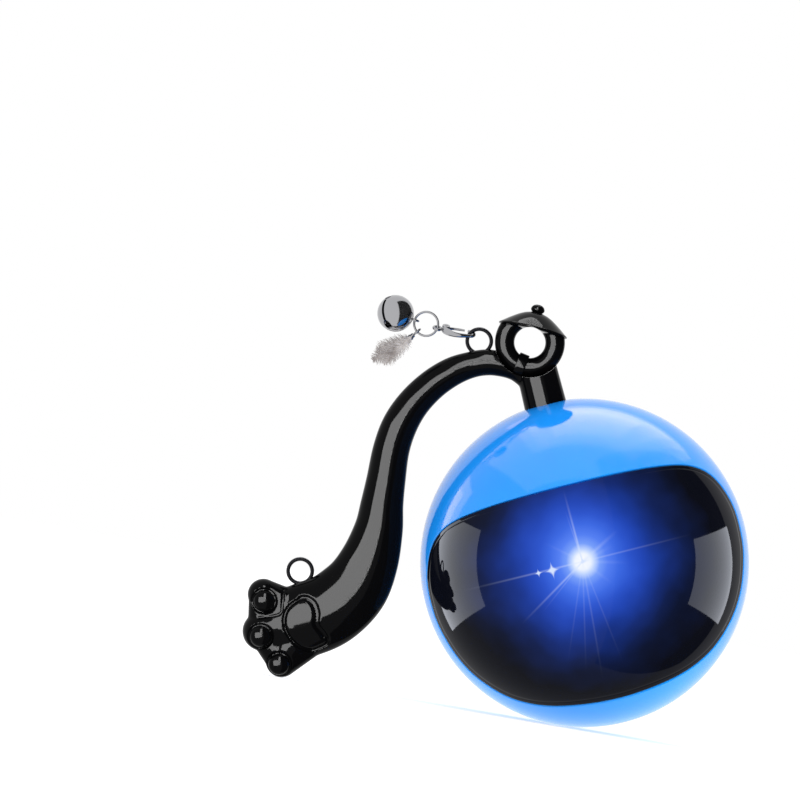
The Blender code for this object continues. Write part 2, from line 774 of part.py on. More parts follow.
def cut_port_and_button(shell):
    cut(shell, flat_form(
        "charging_pocket", [slot_outline(POCKET_WIDTH, POCKET_HEIGHT)], BALL_RADIUS,
        (0, POCKET_FLOOR + BALL_RADIUS / 2, -PORT_DROP), TO_FRONT))
    cut(shell, flat_form(
        "socket_hole", [slot_outline(SOCKET_WIDTH + 2 * FIT_GAP, SOCKET_HEIGHT + 2 * FIT_GAP)],
        4 * POCKET_PAD_WALL, (0, POCKET_FLOOR, -PORT_DROP), TO_FRONT))
    cut(shell, cylinder(
        "button_hole", BUTTON_RADIUS + FIT_GAP, BALL_RADIUS, (0, BALL_RADIUS, BUTTON_RISE), TO_Y))


# Frame screws: lugs of the frame on bosses of the rear shell

LUG_BACK = 0.74 * INNER_RADIUS
FRAME_SCREW_BITE = FRAME_SCREW_LENGTH - LUG_REACH / 2
FRAME_SCREW_X = WEIGHT_WIDTH / 2 + WEIGHT_RUN_GAP + FRAME_WALL + LUG_WIDTH / 2


def frame_screw_places():
    return [(-FRAME_SCREW_X, 0), (FRAME_SCREW_X, 0)]


def frame_boss(i, x, z):
    start = LUG_BACK + FIT_GAP
    reach = wall_at(x, z, INNER_RADIUS + SHELL_WALL / 2)
    return cylinder(
        f"frame_boss_{i + 1}", BOSS_RADIUS, reach - start, (x, (reach + start) / 2, z), TO_Y,
        SMALL_STEPS)


# Lens

def make_lens():
    """Smoked lens: flush with the ball, with a stepped flange behind the shell's edge."""
    lens = bowl("visor", BALL_RADIUS, BALL_RADIUS - LENS_WALL, BALL_ARC_STEPS)
    keep_common(lens, lens_wedge(
        "lens_face", -FIT_GAP, INNER_RADIUS - 3 * SHELL_WALL, 2 * BALL_RADIUS))
    flange_top = INNER_RADIUS - FIT_GAP
    flange = bowl("lens_flange", flange_top, flange_top - LENS_FLANGE_WALL, BALL_INNER_ARC_STEPS)
    keep_common(flange, lens_wedge(
        "flange_rim", LENS_FLANGE_REACH, INNER_RADIUS - 3 * SHELL_WALL, 2 * BALL_RADIUS))
    cut(flange, lens_wedge(
        "flange_bore", -LENS_FLANGE_ROOT, INNER_RADIUS - 4 * SHELL_WALL, 2.2 * BALL_RADIUS))
    join(lens, flange)
    return finish(lens, SMOKED_PLASTIC)


# Tail

def tail_line():
    """Centre line of the elbow and the tail, with half width and half depth at each point."""
    line = [Vector((x, z, wide, deep)) * RING_RADIUS for x, z, wide, deep in elbow_shares]
    for x, z, wide, deep in tail_shares:
        line.append(Vector((
            x * TAIL_SPAN, z * TAIL_DROP, wide * PAW_WIDTH, deep * PAW_WIDTH)))
    return smooth_run(line, 2)


def tail_frames():
    """Place, sideways direction, half width and half depth along the tail, in the ball's frame."""
    line = tail_line()
    frames = []
    for i, spot in enumerate(line):
        ahead = line[min(i + 1, len(line) - 1)]
        behind = line[max(i - 1, 0)]
        along = Vector((ahead.x - behind.x, 0, ahead.y - behind.y)).normalized()
        side = Vector((along.z, 0, -along.x))
        frames.append((RING_CENTRE + Vector((spot.x, 0, spot.y)), side, spot.z, spot.w))
    return frames


def tail_skin(name, grow=0.0, first=0, sides=12):
    rings = []
    for place, side, wide, deep in tail_frames()[first:]:
        turns = [2 * math.pi * i / sides for i in range(sides)]
        rings.append([
            place + side * (wide + grow) * math.cos(a) + Vector((0, (deep + grow) * math.sin(a), 0))
            for a in turns])
    return loft(name, rings)


def eyelet_seat(row, shift=0.0):
    """Centre of a wire loop that stands on the tail's upper side, by one row of its skin."""
    place, side, wide, deep = tail_frames()[row]
    outward = side if side.z > 0 else -side
    return place + outward * (wide + EYELET_RADIUS - EYELET_SINK) - Vector((shift, 0, 0))


def eyelet_seats():
    return [("eyelet_top", eyelet_seat(2 * 4, EYELET_SHIFT)), ("eyelet_paw", eyelet_seat(2 * 16 + 1))]


def strap_place():
    return RING_CENTRE + RING_MID_RADIUS * Vector((math.cos(STRAP_ANGLE), 0, math.sin(STRAP_ANGLE)))


def make_tail():
    """Neck, elbow, tail and paw: one soft moulding, with the strap that holds the ring."""
    tail = tail_skin("tail")
    neck_low = BALL_RADIUS - SHELL_WALL
    neck_top = RING_CENTRE.z - RING_HOLE_RADIUS
    join(tail, cone(
        "neck", NECK_RADIUS_LOW, NECK_RADIUS_TOP, neck_top - neck_low,
        (0, 0, (neck_top + neck_low) / 2)))
    for i, (across, up, radius) in enumerate(toe_shares):
        centre = PAW_CENTRE + Vector((across, 0, up)) * PAW_WIDTH
        join(tail, ball_form(
            f"toe_{i + 1}", radius * PAW_WIDTH, centre, (1, 1.05, 1), SMALL_STEPS + 4))
        shift = Vector((bean_shares[i][0], 0, bean_shares[i][1])) * PAW_WIDTH
        front = Vector((0, -radius * PAW_WIDTH * 0.80, 0))
        join(tail, ball_form(
            f"bean_{i + 1}", BEAN_RADIUS, centre + shift + front, (1, 0.70, 1), SMALL_STEPS + 2))
    join(tail, make_pad())
    bite = cylinder(
        "ring_bite", RING_RADIUS + FIT_GAP, 2 * PAW_WIDTH, RING_CENTRE, TO_Y, 2 * ROUND_STEPS)
    cut(tail, bite)
    band_turn = (0, math.pi / 2 - STRAP_ANGLE - math.pi / 2, 0)
    band_hole = RING_TUBE + FIT_GAP
    join(tail, cylinder(
        "strap_band", band_hole + STRAP_WALL, STRAP_WIDTH, strap_place(), band_turn, ROUND_STEPS))
    cut(tail, cylinder(
        "strap_hole", band_hole, 2 * STRAP_WIDTH, strap_place(), band_turn, ROUND_STEPS))
    plug_top = neck_low + PLUG_LENGTH - FLANGE_THICKNESS
    cut(tail, cylinder(
        "plug_bore", PLUG_RADIUS + RUN_GAP, 2 * (plug_top + FIT_GAP - neck_low),
        (0, 0, neck_low)))
    for name, seat in eyelet_seats():
        cut(tail, ring_form(
            name + "_groove", EYELET_RADIUS - EYELET_WIRE, EYELET_WIRE + RUN_GAP, seat))
    return finish(tail, BLACK_RUBBER, pivots["neck"], sharp=35)


def make_pad():
    """The large pad: its outline cut out of a skin a little outside the paw."""
    centre = PAW_CENTRE + Vector((pad_centre_shares[0], 0, pad_centre_shares[1])) * PAW_WIDTH
    run = smooth_run([Vector((x, z, 0)) * PAD_HEIGHT for x, z in pad_outline_shares], 2, closed=True)
    pad = flat_form(
        "pad", [[(p.x, p.y) for p in run]], PAW_DEPTH,
        centre + Vector((0, -PAW_DEPTH / 2, 0)), TO_FRONT)
    return keep_common(pad, tail_skin("pad_skin", PAD_RISE, first=2 * 13))


def make_neck_plug():
    """Hard plug in the neck, with the flange that turns in the ball's collar."""
    low = FLANGE_LOW - FIT_GAP - COLLAR_LIP
    top = BALL_RADIUS - SHELL_WALL + PLUG_LENGTH - FLANGE_THICKNESS
    profile = [
        (0, top), (PLUG_RADIUS, top), (PLUG_RADIUS, FLANGE_TOP), (FLANGE_RADIUS, FLANGE_TOP),
        (FLANGE_RADIUS, FLANGE_LOW), (PLUG_RADIUS, FLANGE_LOW), (PLUG_RADIUS, low), (0, low),
    ]
    return finish(turned("neck_plug", profile, (0, 0, 0)), WHITE_PLASTIC, pivots["neck"])


# Ring and hat

def hat_turn():
    return Matrix.Rotation(HAT_TILT, 3, "Y") @ Matrix.Rotation(HAT_LEAN_BACK, 3, "X")


def make_ring():
    """Chunky ring, cut off flat where the hat sits on its two ends."""
    ring = ring_form(
        "eye_ring", RING_MID_RADIUS, RING_TUBE, RING_CENTRE, TO_FRONT, ROUND_STEPS + 12, 10)
    size = 4 * RING_RADIUS
    seat = HAT_BRIM_RISE + HAT_UNDERSIDE - FIT_GAP
    away = block("ring_top", (size, size, size), (0, 0, 0))
    away.rotation_euler = hat_turn().to_euler()
    away.location = RING_CENTRE + hat_turn() @ Vector((0, 0, seat + size / 2))
    return finish(cut(ring, away), BLACK_PLASTIC, pivots["ring"])


HAT_UNDERSIDE = hat_profile_shares[-1][1] * HAT_HEIGHT


def make_hat():
    """Pointed hat with a knob; its underside is flat and arched over the ring's hole."""
    dome = [(r * HAT_RADIUS, HAT_BRIM_RISE + h * HAT_HEIGHT) for r, h in hat_profile_shares]
    knob_base = dome[0][1]
    knob = [(r * HAT_KNOB_RADIUS, knob_base + h * HAT_KNOB_HEIGHT) for r, h in knob_profile_shares]
    profile = [(0, knob[0][1])] + knob + dome + [(0, dome[-1][1])]
    hat = turned("hat", profile, RING_CENTRE, hat_turn().to_euler(), ROUND_STEPS + 8)
    cut(hat, cylinder(
        "hat_arch", RING_HOLE_RADIUS, 4 * HAT_RADIUS, RING_CENTRE, TO_Y, 2 * ROUND_STEPS))
    return finish(hat, BLACK_PLASTIC, pivots["ring"], sharp=50)


def make_eyelets():
    for name, seat in eyelet_seats():
        loop = ring_form(
            name, EYELET_RADIUS - EYELET_WIRE, EYELET_WIRE, seat, TO_FRONT, ROUND_STEPS + 2, 6)
        finish(loop, DARK_STEEL, pivots["neck"])


# Charm

def heading(angle):
    """Direction in the ball's XZ plane, seen from the front, from +X towards +Z."""
    return Vector((math.cos(angle), 0, math.sin(angle)))


EYELET_CENTRE = eyelet_seats()[0][1]
CLASP_AXIS = heading(CLASP_ANGLE)
CLASP_SIDE = (Vector((0, -1, 0)) * math.cos(CLASP_TURN)
              + heading(CLASP_ANGLE + math.pi / 2) * math.sin(CLASP_TURN))
CLASP_NORMAL = CLASP_AXIS.cross(CLASP_SIDE)
HOOK_CENTRE = EYELET_CENTRE + heading(HOOK_ANGLE) * (EYELET_RADIUS - EYELET_WIRE)
CLASP_EYE = HOOK_CENTRE + CLASP_AXIS * CLASP_REACH
LINK_MID_RADIUS = LINK_RADIUS - LINK_WIRE
LINK_CENTRE = CLASP_EYE + heading(LINK_ANGLE) * LINK_MID_RADIUS
BELL_PIN = LINK_CENTRE + heading(BELL_ANGLE) * LINK_MID_RADIUS
BELL_CENTRE = BELL_PIN + heading(BELL_ANGLE) * (BELL_RADIUS + BELL_SHANK_RADIUS / 2)
FEATHER_PIN = LINK_CENTRE + heading(FEATHER_ANGLE) * LINK_MID_RADIUS


def clasp_point(along, across):
    return HOOK_CENTRE + CLASP_AXIS * along + CLASP_SIDE * across


def clasp_back():
    """Centre line of the clasp's back and hook, with its swell in hook wires."""
    hook = CLASP_HOOK_RADIUS
    back = [
        (CLASP_REACH - CLASP_EYE_RADIUS - CLASP_EYE_WIRE / 2, 0, 1.3),
        (0.76 * CLASP_REACH, 0.40 * hook, 2.0), (0.62 * CLASP_REACH, 1.05 * hook, 1.8),
        (0.46 * CLASP_REACH, 1.40 * hook, 1.5), (0.28 * CLASP_REACH, 1.42 * hook, 1.3),
        (0.12 * CLASP_REACH, 1.20 * hook, 1.1),
    ]
    turns = [math.radians(a) for a in (90, 125, 160, 195, 230, 265)]
    bend = [(hook * math.cos(a), hook * math.sin(a), 1.0) for a in turns]
    tip = [(0.35 * hook, -1.10 * hook, 1.0)]
    return [Vector(p) for p in back + bend + tip]


GATE_PIN = (0.74 * CLASP_REACH, -0.50 * CLASP_HOOK_RADIUS)


def make_clasp():
    """Lobster clasp: hooked back, sprung gate on its pin, and the eye for the wire ring."""
    line = clasp_back()
    points = [clasp_point(p.x, p.y) for p in line]
    body = wire("clasp_body", points, CLASP_HOOK_WIRE, [p.z for p in line])
    eye_turn = CLASP_NORMAL.to_track_quat("Z", "Y").to_euler()
    eye = ring_form(
        "clasp_eye", CLASP_EYE_RADIUS - CLASP_EYE_WIRE / 2, CLASP_EYE_WIRE, CLASP_EYE, eye_turn,
        SMALL_STEPS + 4, 6)
    boss = cylinder(
        "gate_boss", 3 * GATE_PIN_RADIUS, CLASP_THICKNESS, clasp_point(*GATE_PIN), eye_turn,
        SMALL_STEPS)
    slot = block(
        "gate_slot", (0.62 * CLASP_REACH, 4 * CLASP_HOOK_RADIUS, CLASP_THICKNESS / 2),
        (0, 0, 0), eye_turn)
    clear = GATE_KNUCKLE_RADIUS + 2 * RUN_GAP
    toward = GATE_PIN[0] + clear - 0.31 * CLASP_REACH
    turn = Matrix((CLASP_AXIS, CLASP_SIDE, CLASP_NORMAL)).transposed()
    slot.rotation_euler = turn.to_euler()
    slot.location = clasp_point(toward, GATE_PIN[1] + clear - 2 * CLASP_HOOK_RADIUS)
    hole = cylinder(
        "gate_pin_hole", GATE_PIN_RADIUS + RUN_GAP / 2, 2 * CLASP_THICKNESS,
        clasp_point(*GATE_PIN), eye_turn, SMALL_STEPS)
    join(body, eye, boss)
    cut(body, slot, hole)
    finish(body, STEEL, pivots["clasp"])
    pin = cylinder(
        "gate_pin", GATE_PIN_RADIUS, CLASP_THICKNESS, clasp_point(*GATE_PIN), eye_turn, SMALL_STEPS)
    finish(pin, STEEL, pivots["clasp"])
    make_gate(eye_turn)


def make_gate(eye_turn):
    """The gate: a thin lever from its pin to just short of the hook's tip."""
    hook = CLASP_HOOK_RADIUS
    tip = 0.35 * hook + CLASP_HOOK_WIRE + FIT_GAP
    line = [
        (GATE_PIN[0] - 1.5 * GATE_PIN_RADIUS, GATE_PIN[1] - GATE_PIN_RADIUS / 2, 0.75),
        (0.52 * CLASP_REACH, -0.95 * hook, 0.75), (0.32 * CLASP_REACH, -1.08 * hook, 0.75),
        (tip, -1.10 * hook, 0.75),
    ]
    points = [clasp_point(along, across) for along, across, swell in line]
    gate = wire("clasp_gate", points, CLASP_HOOK_WIRE, [swell for a, b, swell in line])
    knuckle = cylinder(
        "gate_knuckle", GATE_KNUCKLE_RADIUS, CLASP_THICKNESS / 2 - 2 * RUN_GAP,
        clasp_point(*GATE_PIN), eye_turn, SMALL_STEPS)
    hole = cylinder(
        "gate_bore", GATE_PIN_RADIUS + RUN_GAP / 2, 2 * CLASP_THICKNESS,
        clasp_point(*GATE_PIN), eye_turn, SMALL_STEPS)
    join(gate, knuckle)
    cut(gate, hole)
    finish(gate, STEEL, pivots["gate"])


def make_link():
    loop = ring_form("link_ring", LINK_MID_RADIUS, LINK_WIRE, LINK_CENTRE, TO_FRONT, ROUND_STEPS + 2, 6)
    finish(loop, STEEL, pivots["link"])


def bell_turn():
    """Turn that points the bell's local Z away from its mouth, which looks out to the front."""
    mouth = (heading(BELL_ANGLE) * math.cos(BELL_MOUTH_TURN)
             + Vector((0, -1, 0)) * math.sin(BELL_MOUTH_TURN))
    return (-mouth).to_track_quat("Z", "Y")


def make_bell():
    """Jingle bell: thin ball with a slot and two round holes across its mouth, and a shank."""
    inner = BELL_RADIUS - BELL_WALL
    bell = ball_form("bell", BELL_RADIUS, BELL_CENTRE, steps=ROUND_STEPS)
    bell.rotation_euler = bell_turn().to_euler()
    hollow = ball_form("bell_hollow", inner, BELL_CENTRE, steps=ROUND_STEPS - 4)
    hollow.rotation_euler = bell_turn().to_euler()
    cut(bell, hollow)
    mouth = bell_turn() @ Vector((0, 0, -BELL_RADIUS))
    across = bell_turn() @ Vector((0, 1, 0))
    hole_reach = 0.66 * BELL_RADIUS
    slot = block(
        "bell_slot", (BELL_SLOT_WIDTH, 2 * hole_reach, BELL_RADIUS), BELL_CENTRE + mouth,
        bell_turn().to_euler())
    cut(bell, slot)
    for i, side in enumerate((-1, 1)):
        end = BELL_CENTRE + mouth * 0.75 + across * side * hole_reach
        cut(bell, cylinder(
            f"bell_mouth_{i + 1}", BELL_SLOT_HOLE_RADIUS, BELL_RADIUS, end,
            bell_turn().to_euler(), SMALL_STEPS))
    shank = ring_form(
        "bell_shank", BELL_SHANK_RADIUS, BELL_SHANK_WIRE, BELL_PIN, UPRIGHT, SMALL_STEPS + 2, 6)
    normal = heading(BELL_ANGLE).cross(Vector((0, 1, 0)))
    shank.rotation_euler = normal.to_track_quat("Z", "Y").to_euler()
    join(bell, shank)
    finish(bell, STEEL, pivots["bell"], sharp=30)


def pellet_centre():
    """The pellet lies at the bottom of the bell, straight below its centre in the room."""
    down = TILT.inverted() @ Vector((0, 0, -1))
    return BELL_CENTRE + down * (BELL_RADIUS - BELL_WALL - PELLET_RADIUS - FIT_GAP)


def make_pellet():
    pellet = ball_form("bell_pellet", PELLET_RADIUS, pellet_centre(), steps=SMALL_STEPS)
    finish(pellet, STEEL, pivots["pellet"])


def make_feathers():
    """Crimped cap on the wire ring, and three small downy feathers out of it."""
    out = heading(FEATHER_ANGLE)
    turn = out.to_track_quat("Z", "Y").to_euler()
    loop_normal = out.cross(Vector((0, 1, 0)))
    cap_start = BELL_SHANK_RADIUS + BELL_SHANK_WIRE / 2
    cap_centre = FEATHER_PIN + out * (cap_start + FEATHER_CAP_LENGTH / 2)
    cap = cone(
        "feather_cap", FEATHER_CAP_RADIUS / 2, FEATHER_CAP_RADIUS, FEATHER_CAP_LENGTH,
        cap_centre, turn, SMALL_STEPS)
    loop = ring_form(
        "feather_loop", BELL_SHANK_RADIUS, BELL_SHANK_WIRE, FEATHER_PIN,
        loop_normal.to_track_quat("Z", "Y").to_euler(), SMALL_STEPS + 2, 6)
    join(cap, loop)
    finish(cap, STEEL, pivots["feather"])
    start = cap_start + FEATHER_CAP_LENGTH + FIT_GAP
    for i in range(3):
        angle = FEATHER_ANGLE + (i - 1) * FEATHER_SPREAD
        shift = Vector((0, (i - 1) * FEATHER_SPACING, 0))
        make_feather(f"feather_{i + 1}", FEATHER_PIN + out * start + shift, heading(angle))


def make_feather(name, root, out):
    """One downy feather: a thin leaf, narrow at its quill and wide past its middle."""
    side = out.cross(Vector((0, 1, 0)))
    widths = [(0.0, 0.10), (0.10, 0.30), (0.30, 0.78), (0.55, 1.0), (0.80, 0.78), (0.95, 0.38),
              (1.0, 0.12)]
    rings = []
    for along, wide in widths:
        centre = root + out * along * FEATHER_LENGTH
        half = wide * FEATHER_WIDTH / 2
        thick = min(1.0, 0.45 + wide) * FEATHER_THICKNESS / 2
        turns = [2 * math.pi * k / 8 for k in range(8)]
        rings.append([
            centre + side * half * math.cos(a) + Vector((0, thick * math.sin(a), 0)) for a in turns])
    finish(loft(name, rings), GREY_DOWN, pivots["feather"])


# Drive: frame, weight, gears and motor

FRAME_INNER = WEIGHT_WIDTH / 2 + WEIGHT_RUN_GAP
FRAME_OUTER = FRAME_INNER + FRAME_WALL
POST_RING = WEIGHT_RADIUS + WEIGHT_RUN_GAP + POST_RADIUS
FINAL_PLANE = -(FRAME_OUTER + BUSH_HEAD + GEAR_SPACING + GEAR_WIDTH / 2)
WHEEL_PLANE = FINAL_PLANE - GEAR_WIDTH - GEAR_SPACING
COVER_INNER = WHEEL_PLANE - GEAR_WIDTH / 2 - GEAR_SPACING
COVER_PLANE = COVER_INNER - GEAR_COVER_WALL / 2
FINAL_DISTANCE = GEAR_MODULE * (FINAL_TEETH + PINION_TEETH) / 2
WHEEL_DISTANCE = GEAR_MODULE * (WHEEL_TEETH + PINION_TEETH) / 2
BUSH_RADIUS = AXLE_RADIUS + RUN_GAP + BUSH_WALL


def in_drive(x, distance, angle):
    """A place in the drive: x along the axle, distance and angle round it from +Y to +Z."""
    return Vector((x, distance * math.cos(angle), distance * math.sin(angle)))


def motor_angle():
    """Angle of the motor shaft round the axle, by the triangle axle, idler, motor."""
    a, b, c = FINAL_DISTANCE, MOTOR_AXIS_DISTANCE, WHEEL_DISTANCE
    return IDLER_ANGLE - math.acos((a * a + b * b - c * c) / (2 * a * b))


MOTOR_ANGLE = motor_angle()
IDLER_AXIS = in_drive(0, FINAL_DISTANCE, IDLER_ANGLE)
MOTOR_AXIS = in_drive(0, MOTOR_AXIS_DISTANCE, MOTOR_ANGLE)


def involute(angle):
    return math.tan(angle) - angle


def gear_outline(teeth, phase):
    """Involute gear outline whose first tooth points at the phase angle."""
    pressure = math.radians(20)
    pitch = GEAR_MODULE * teeth / 2
    base = pitch * math.cos(pressure)
    tip = pitch + 0.75 * GEAR_MODULE
    root = pitch - 1.10 * GEAR_MODULE
    half_tooth = math.pi / (2 * teeth) - GEAR_BACKLASH / (2 * pitch)
    flank = [root, max(base, pitch), tip] if teeth == PINION_TEETH else [root, tip]

    def half_angle(radius):
        seen = max(radius, base)
        return half_tooth + involute(pressure) - involute(math.acos(min(1.0, base / seen)))

    outline = []
    for i in range(teeth):
        middle = phase + 2 * math.pi * i / teeth
        rising = [(r, middle - half_angle(r)) for r in flank]
        falling = [(r, middle + half_angle(r)) for r in reversed(flank)]
        outline += [(r * math.cos(a), r * math.sin(a)) for r, a in rising + falling]
    return outline


def gear(name, teeth, plane, axis, phase, bore, width=GEAR_WIDTH):
    """One spur gear in the drive, centred on its plane along the axle."""
    outlines = [gear_outline(teeth, phase)]
    if bore:
        outlines.append(circle(bore, steps=SMALL_STEPS))
    return flat_form(name, outlines, width, axis + Vector((plane, 0, 0)), TO_X)


def make_gears():
    """Two-stage spur train: motor pinion, compound idler and the final gear on the axle."""
    final_phase = IDLER_ANGLE
    small_phase = IDLER_ANGLE + math.pi + math.pi / PINION_TEETH
    to_motor = MOTOR_AXIS - IDLER_AXIS
    line = math.atan2(to_motor.z, to_motor.y)
    wheel_phase = line
    motor_phase = line + math.pi + math.pi / PINION_TEETH
    final = gear(
        "final_gear", FINAL_TEETH, FINAL_PLANE, Vector((0, 0, 0)), final_phase,
        AXLE_RADIUS + RUN_GAP)
    finish(final, WHITE_PLASTIC, pivots["weight"], sharp=25)
    wheel = gear("idler_gear", WHEEL_TEETH, WHEEL_PLANE, IDLER_AXIS, wheel_phase, None)
    small_width = GEAR_WIDTH + GEAR_SPACING
    small = gear(
        "idler_pinion", PINION_TEETH, FINAL_PLANE - GEAR_SPACING / 2, IDLER_AXIS, small_phase,
        None, small_width + GEAR_SPACING / 2)
    bore = cylinder(
        "idler_bore", IDLER_PIN_RADIUS + RUN_GAP, BALL_RADIUS,
        IDLER_AXIS + Vector((WHEEL_PLANE, 0, 0)), TO_X, SMALL_STEPS)
    join(wheel, small)
    cut(wheel, bore)
    finish(wheel, WHITE_PLASTIC, pivots["idler"], sharp=25)
    pinion = gear(
        "motor_pinion", PINION_TEETH, WHEEL_PLANE, MOTOR_AXIS, motor_phase, None)
    shaft_end = COVER_INNER - GEAR_COVER_WALL - MOTOR_LENGTH / 4
    shaft_start = WHEEL_PLANE
    shaft = cylinder(
        "motor_shaft", MOTOR_SHAFT_RADIUS, shaft_start - shaft_end,
        MOTOR_AXIS + Vector(((shaft_start + shaft_end) / 2, 0, 0)), TO_X, SMALL_STEPS)
    join(pinion, shaft)
    finish(pinion, BRASS, pivots["pinion"], sharp=25)


def make_frame():
    """Two side plates with bearing holes, joined by posts, with the lugs for its screws."""
    frame_steps = ROUND_STEPS + 4
    frame = cylinder(
        "drive_frame", FRAME_RADIUS, FRAME_WALL, ((FRAME_INNER + FRAME_OUTER) / 2, 0, 0), TO_X,
        frame_steps)
    other = cylinder(
        "left_plate", FRAME_RADIUS, FRAME_WALL, (-(FRAME_INNER + FRAME_OUTER) / 2, 0, 0), TO_X,
        frame_steps)
    join(frame, other)
    post_angles = [math.radians(a) for a in (60, 180 - 28, 180 + 28, -60)]
    for i, angle in enumerate(post_angles):
        join(frame, cylinder(
            f"frame_post_{i + 1}", POST_RADIUS, 2 * FRAME_INNER + FRAME_WALL,
            in_drive(0, POST_RING, angle), TO_X, SMALL_STEPS))
    for i, (x, z) in enumerate(frame_screw_places()):
        side = 1 if x > 0 else -1
        root = FRAME_INNER + FRAME_WALL / 2
        width = FRAME_SCREW_X + LUG_WIDTH / 2 - root
        lug = block(
            f"frame_lug_{i + 1}", (width, LUG_REACH / 2, LUG_WIDTH),
            (side * (root + width / 2), LUG_BACK - LUG_REACH / 4, z))
        join(frame, lug)
    for i, (x, z) in enumerate(frame_screw_places()):
        cut(frame, cylinder(
            f"lug_hole_{i + 1}", SCREW_RADIUS + RUN_GAP, 2 * LUG_REACH, (x, LUG_BACK, z), TO_Y,
            SMALL_STEPS))
    front = front_post_y() - FRAME_RADIUS / 2
    cut(frame, block("front_flat", (BALL_RADIUS, FRAME_RADIUS, 2 * BALL_RADIUS), (0, front, 0)))
    cut(frame, cylinder("bush_holes", BUSH_RADIUS + RUN_GAP, BALL_RADIUS, (0, 0, 0), TO_X))
    cut(frame, cylinder(
        "idler_pin_hole", IDLER_PIN_RADIUS + RUN_GAP, GEAR_WIDTH,
        IDLER_AXIS + Vector((-FRAME_OUTER, 0, 0)), TO_X, SMALL_STEPS))
    for i, angle in enumerate((math.pi / 2, -math.pi / 2)):
        cut(frame, cylinder(
            f"frame_window_{i + 1}", FRAME_WINDOW_RADIUS, BALL_RADIUS,
            in_drive(BALL_RADIUS / 2 + FRAME_INNER - OVERRUN, FRAME_RADIUS / 2, angle), TO_X,
            SMALL_STEPS))
    finish(frame, WHITE_PLASTIC)


def make_gear_cover():
    """Plate over the gears: it carries the motor and the idler's pin on three pillars."""
    idler = (IDLER_AXIS.y, IDLER_AXIS.z)
    motor = (MOTOR_AXIS.y, MOTOR_AXIS.z)
    outer = cover_radius()
    cover = cylinder(
        "gear_cover", outer, GEAR_COVER_WALL, (COVER_PLANE, *cover_middle()), TO_X,
        ROUND_STEPS + 4)
    length = -FRAME_OUTER - COVER_INNER - FIT_GAP
    for i, place in enumerate(pillar_places()):
        join(cover, cylinder(
            f"cover_pillar_{i + 1}", POST_RADIUS, length + GEAR_COVER_WALL / 2,
            (COVER_INNER + (length - GEAR_COVER_WALL / 2) / 2, *place), TO_X, SMALL_STEPS))
    cut(cover, cylinder(
        "cover_axle_hole", AXLE_RADIUS + RUN_GAP, BALL_RADIUS, (COVER_PLANE, 0, 0), TO_X,
        SMALL_STEPS))
    cut(cover, cylinder(
        "cover_idler_hole", IDLER_PIN_RADIUS + RUN_GAP, BALL_RADIUS, (COVER_PLANE, *idler), TO_X,
        SMALL_STEPS))
    cut(cover, cylinder(
        "cover_motor_hole", MOTOR_BOSS_RADIUS + FIT_GAP, BALL_RADIUS, (COVER_PLANE, *motor), TO_X))
    finish(cover, WHITE_PLASTIC)


def cover_middle():
    """Middle of the cover, between the axle and the other two gear axes."""
    middle = (IDLER_AXIS + MOTOR_AXIS) / 3
    return middle.y, middle.z


def cover_radius():
    return FINAL_DISTANCE + GEAR_MODULE * PINION_TEETH / 2


def pillar_places():
    """Pillars at the rim of the cover, at turns that clear the gears."""
    across, up = cover_middle()
    reach = cover_radius() - POST_RADIUS
    turns = [math.radians(a) for a in (20, 170, 245)]
    return [(across + reach * math.cos(a), up + reach * math.sin(a)) for a in turns]


def make_motor():
    """Small can motor with a front boss, behind the gear cover."""
    face = COVER_INNER - GEAR_COVER_WALL - FIT_GAP
    rear = face - MOTOR_LENGTH
    chamfer = MOTOR_BOSS_HEIGHT
    profile = [
        (0, face + MOTOR_BOSS_HEIGHT), (MOTOR_BOSS_RADIUS, face + MOTOR_BOSS_HEIGHT),
        (MOTOR_BOSS_RADIUS, face),
        (MOTOR_RADIUS, face), (MOTOR_RADIUS, rear + chamfer), (MOTOR_RADIUS - chamfer, rear),
        (0, rear),
    ]
    motor = turned("motor", profile, MOTOR_AXIS, TO_X, ROUND_STEPS)
    cut(motor, cylinder(
        "motor_shaft_hole", MOTOR_SHAFT_RADIUS + RUN_GAP, MOTOR_LENGTH,
        MOTOR_AXIS + Vector((face + MOTOR_BOSS_HEIGHT, 0, 0)), TO_X, SMALL_STEPS))
    finish(motor, STEEL)


def make_idler_pin():
    low = COVER_INNER - GEAR_COVER_WALL
    high = -FRAME_OUTER + FRAME_WALL / 2
    pin = cylinder(
        "idler_pin", IDLER_PIN_RADIUS, high - low,
        IDLER_AXIS + Vector(((low + high) / 2, 0, 0)), TO_X, SMALL_STEPS)
    finish(pin, STEEL)


def make_bushes():
    """Flanged bushes in the two side plates, in which the axle turns."""
    for name, side in (("axle_bush_left", -1), ("axle_bush_right", 1)):
        outer = BUSH_RADIUS
        bore = AXLE_RADIUS + RUN_GAP
        head = FRAME_OUTER + BUSH_HEAD
        profile = [
            (bore, head), (outer + BUSH_WALL, head), (outer + BUSH_WALL, FRAME_OUTER + RUN_GAP),
            (outer, FRAME_OUTER + RUN_GAP), (outer, FRAME_INNER), (bore, FRAME_INNER),
        ]
        turn = TO_X if side > 0 else (math.pi / 2, 0, -math.pi / 2)
        finish(turned(name, profile, (0, 0, 0), turn, SMALL_STEPS + 4), BRASS)


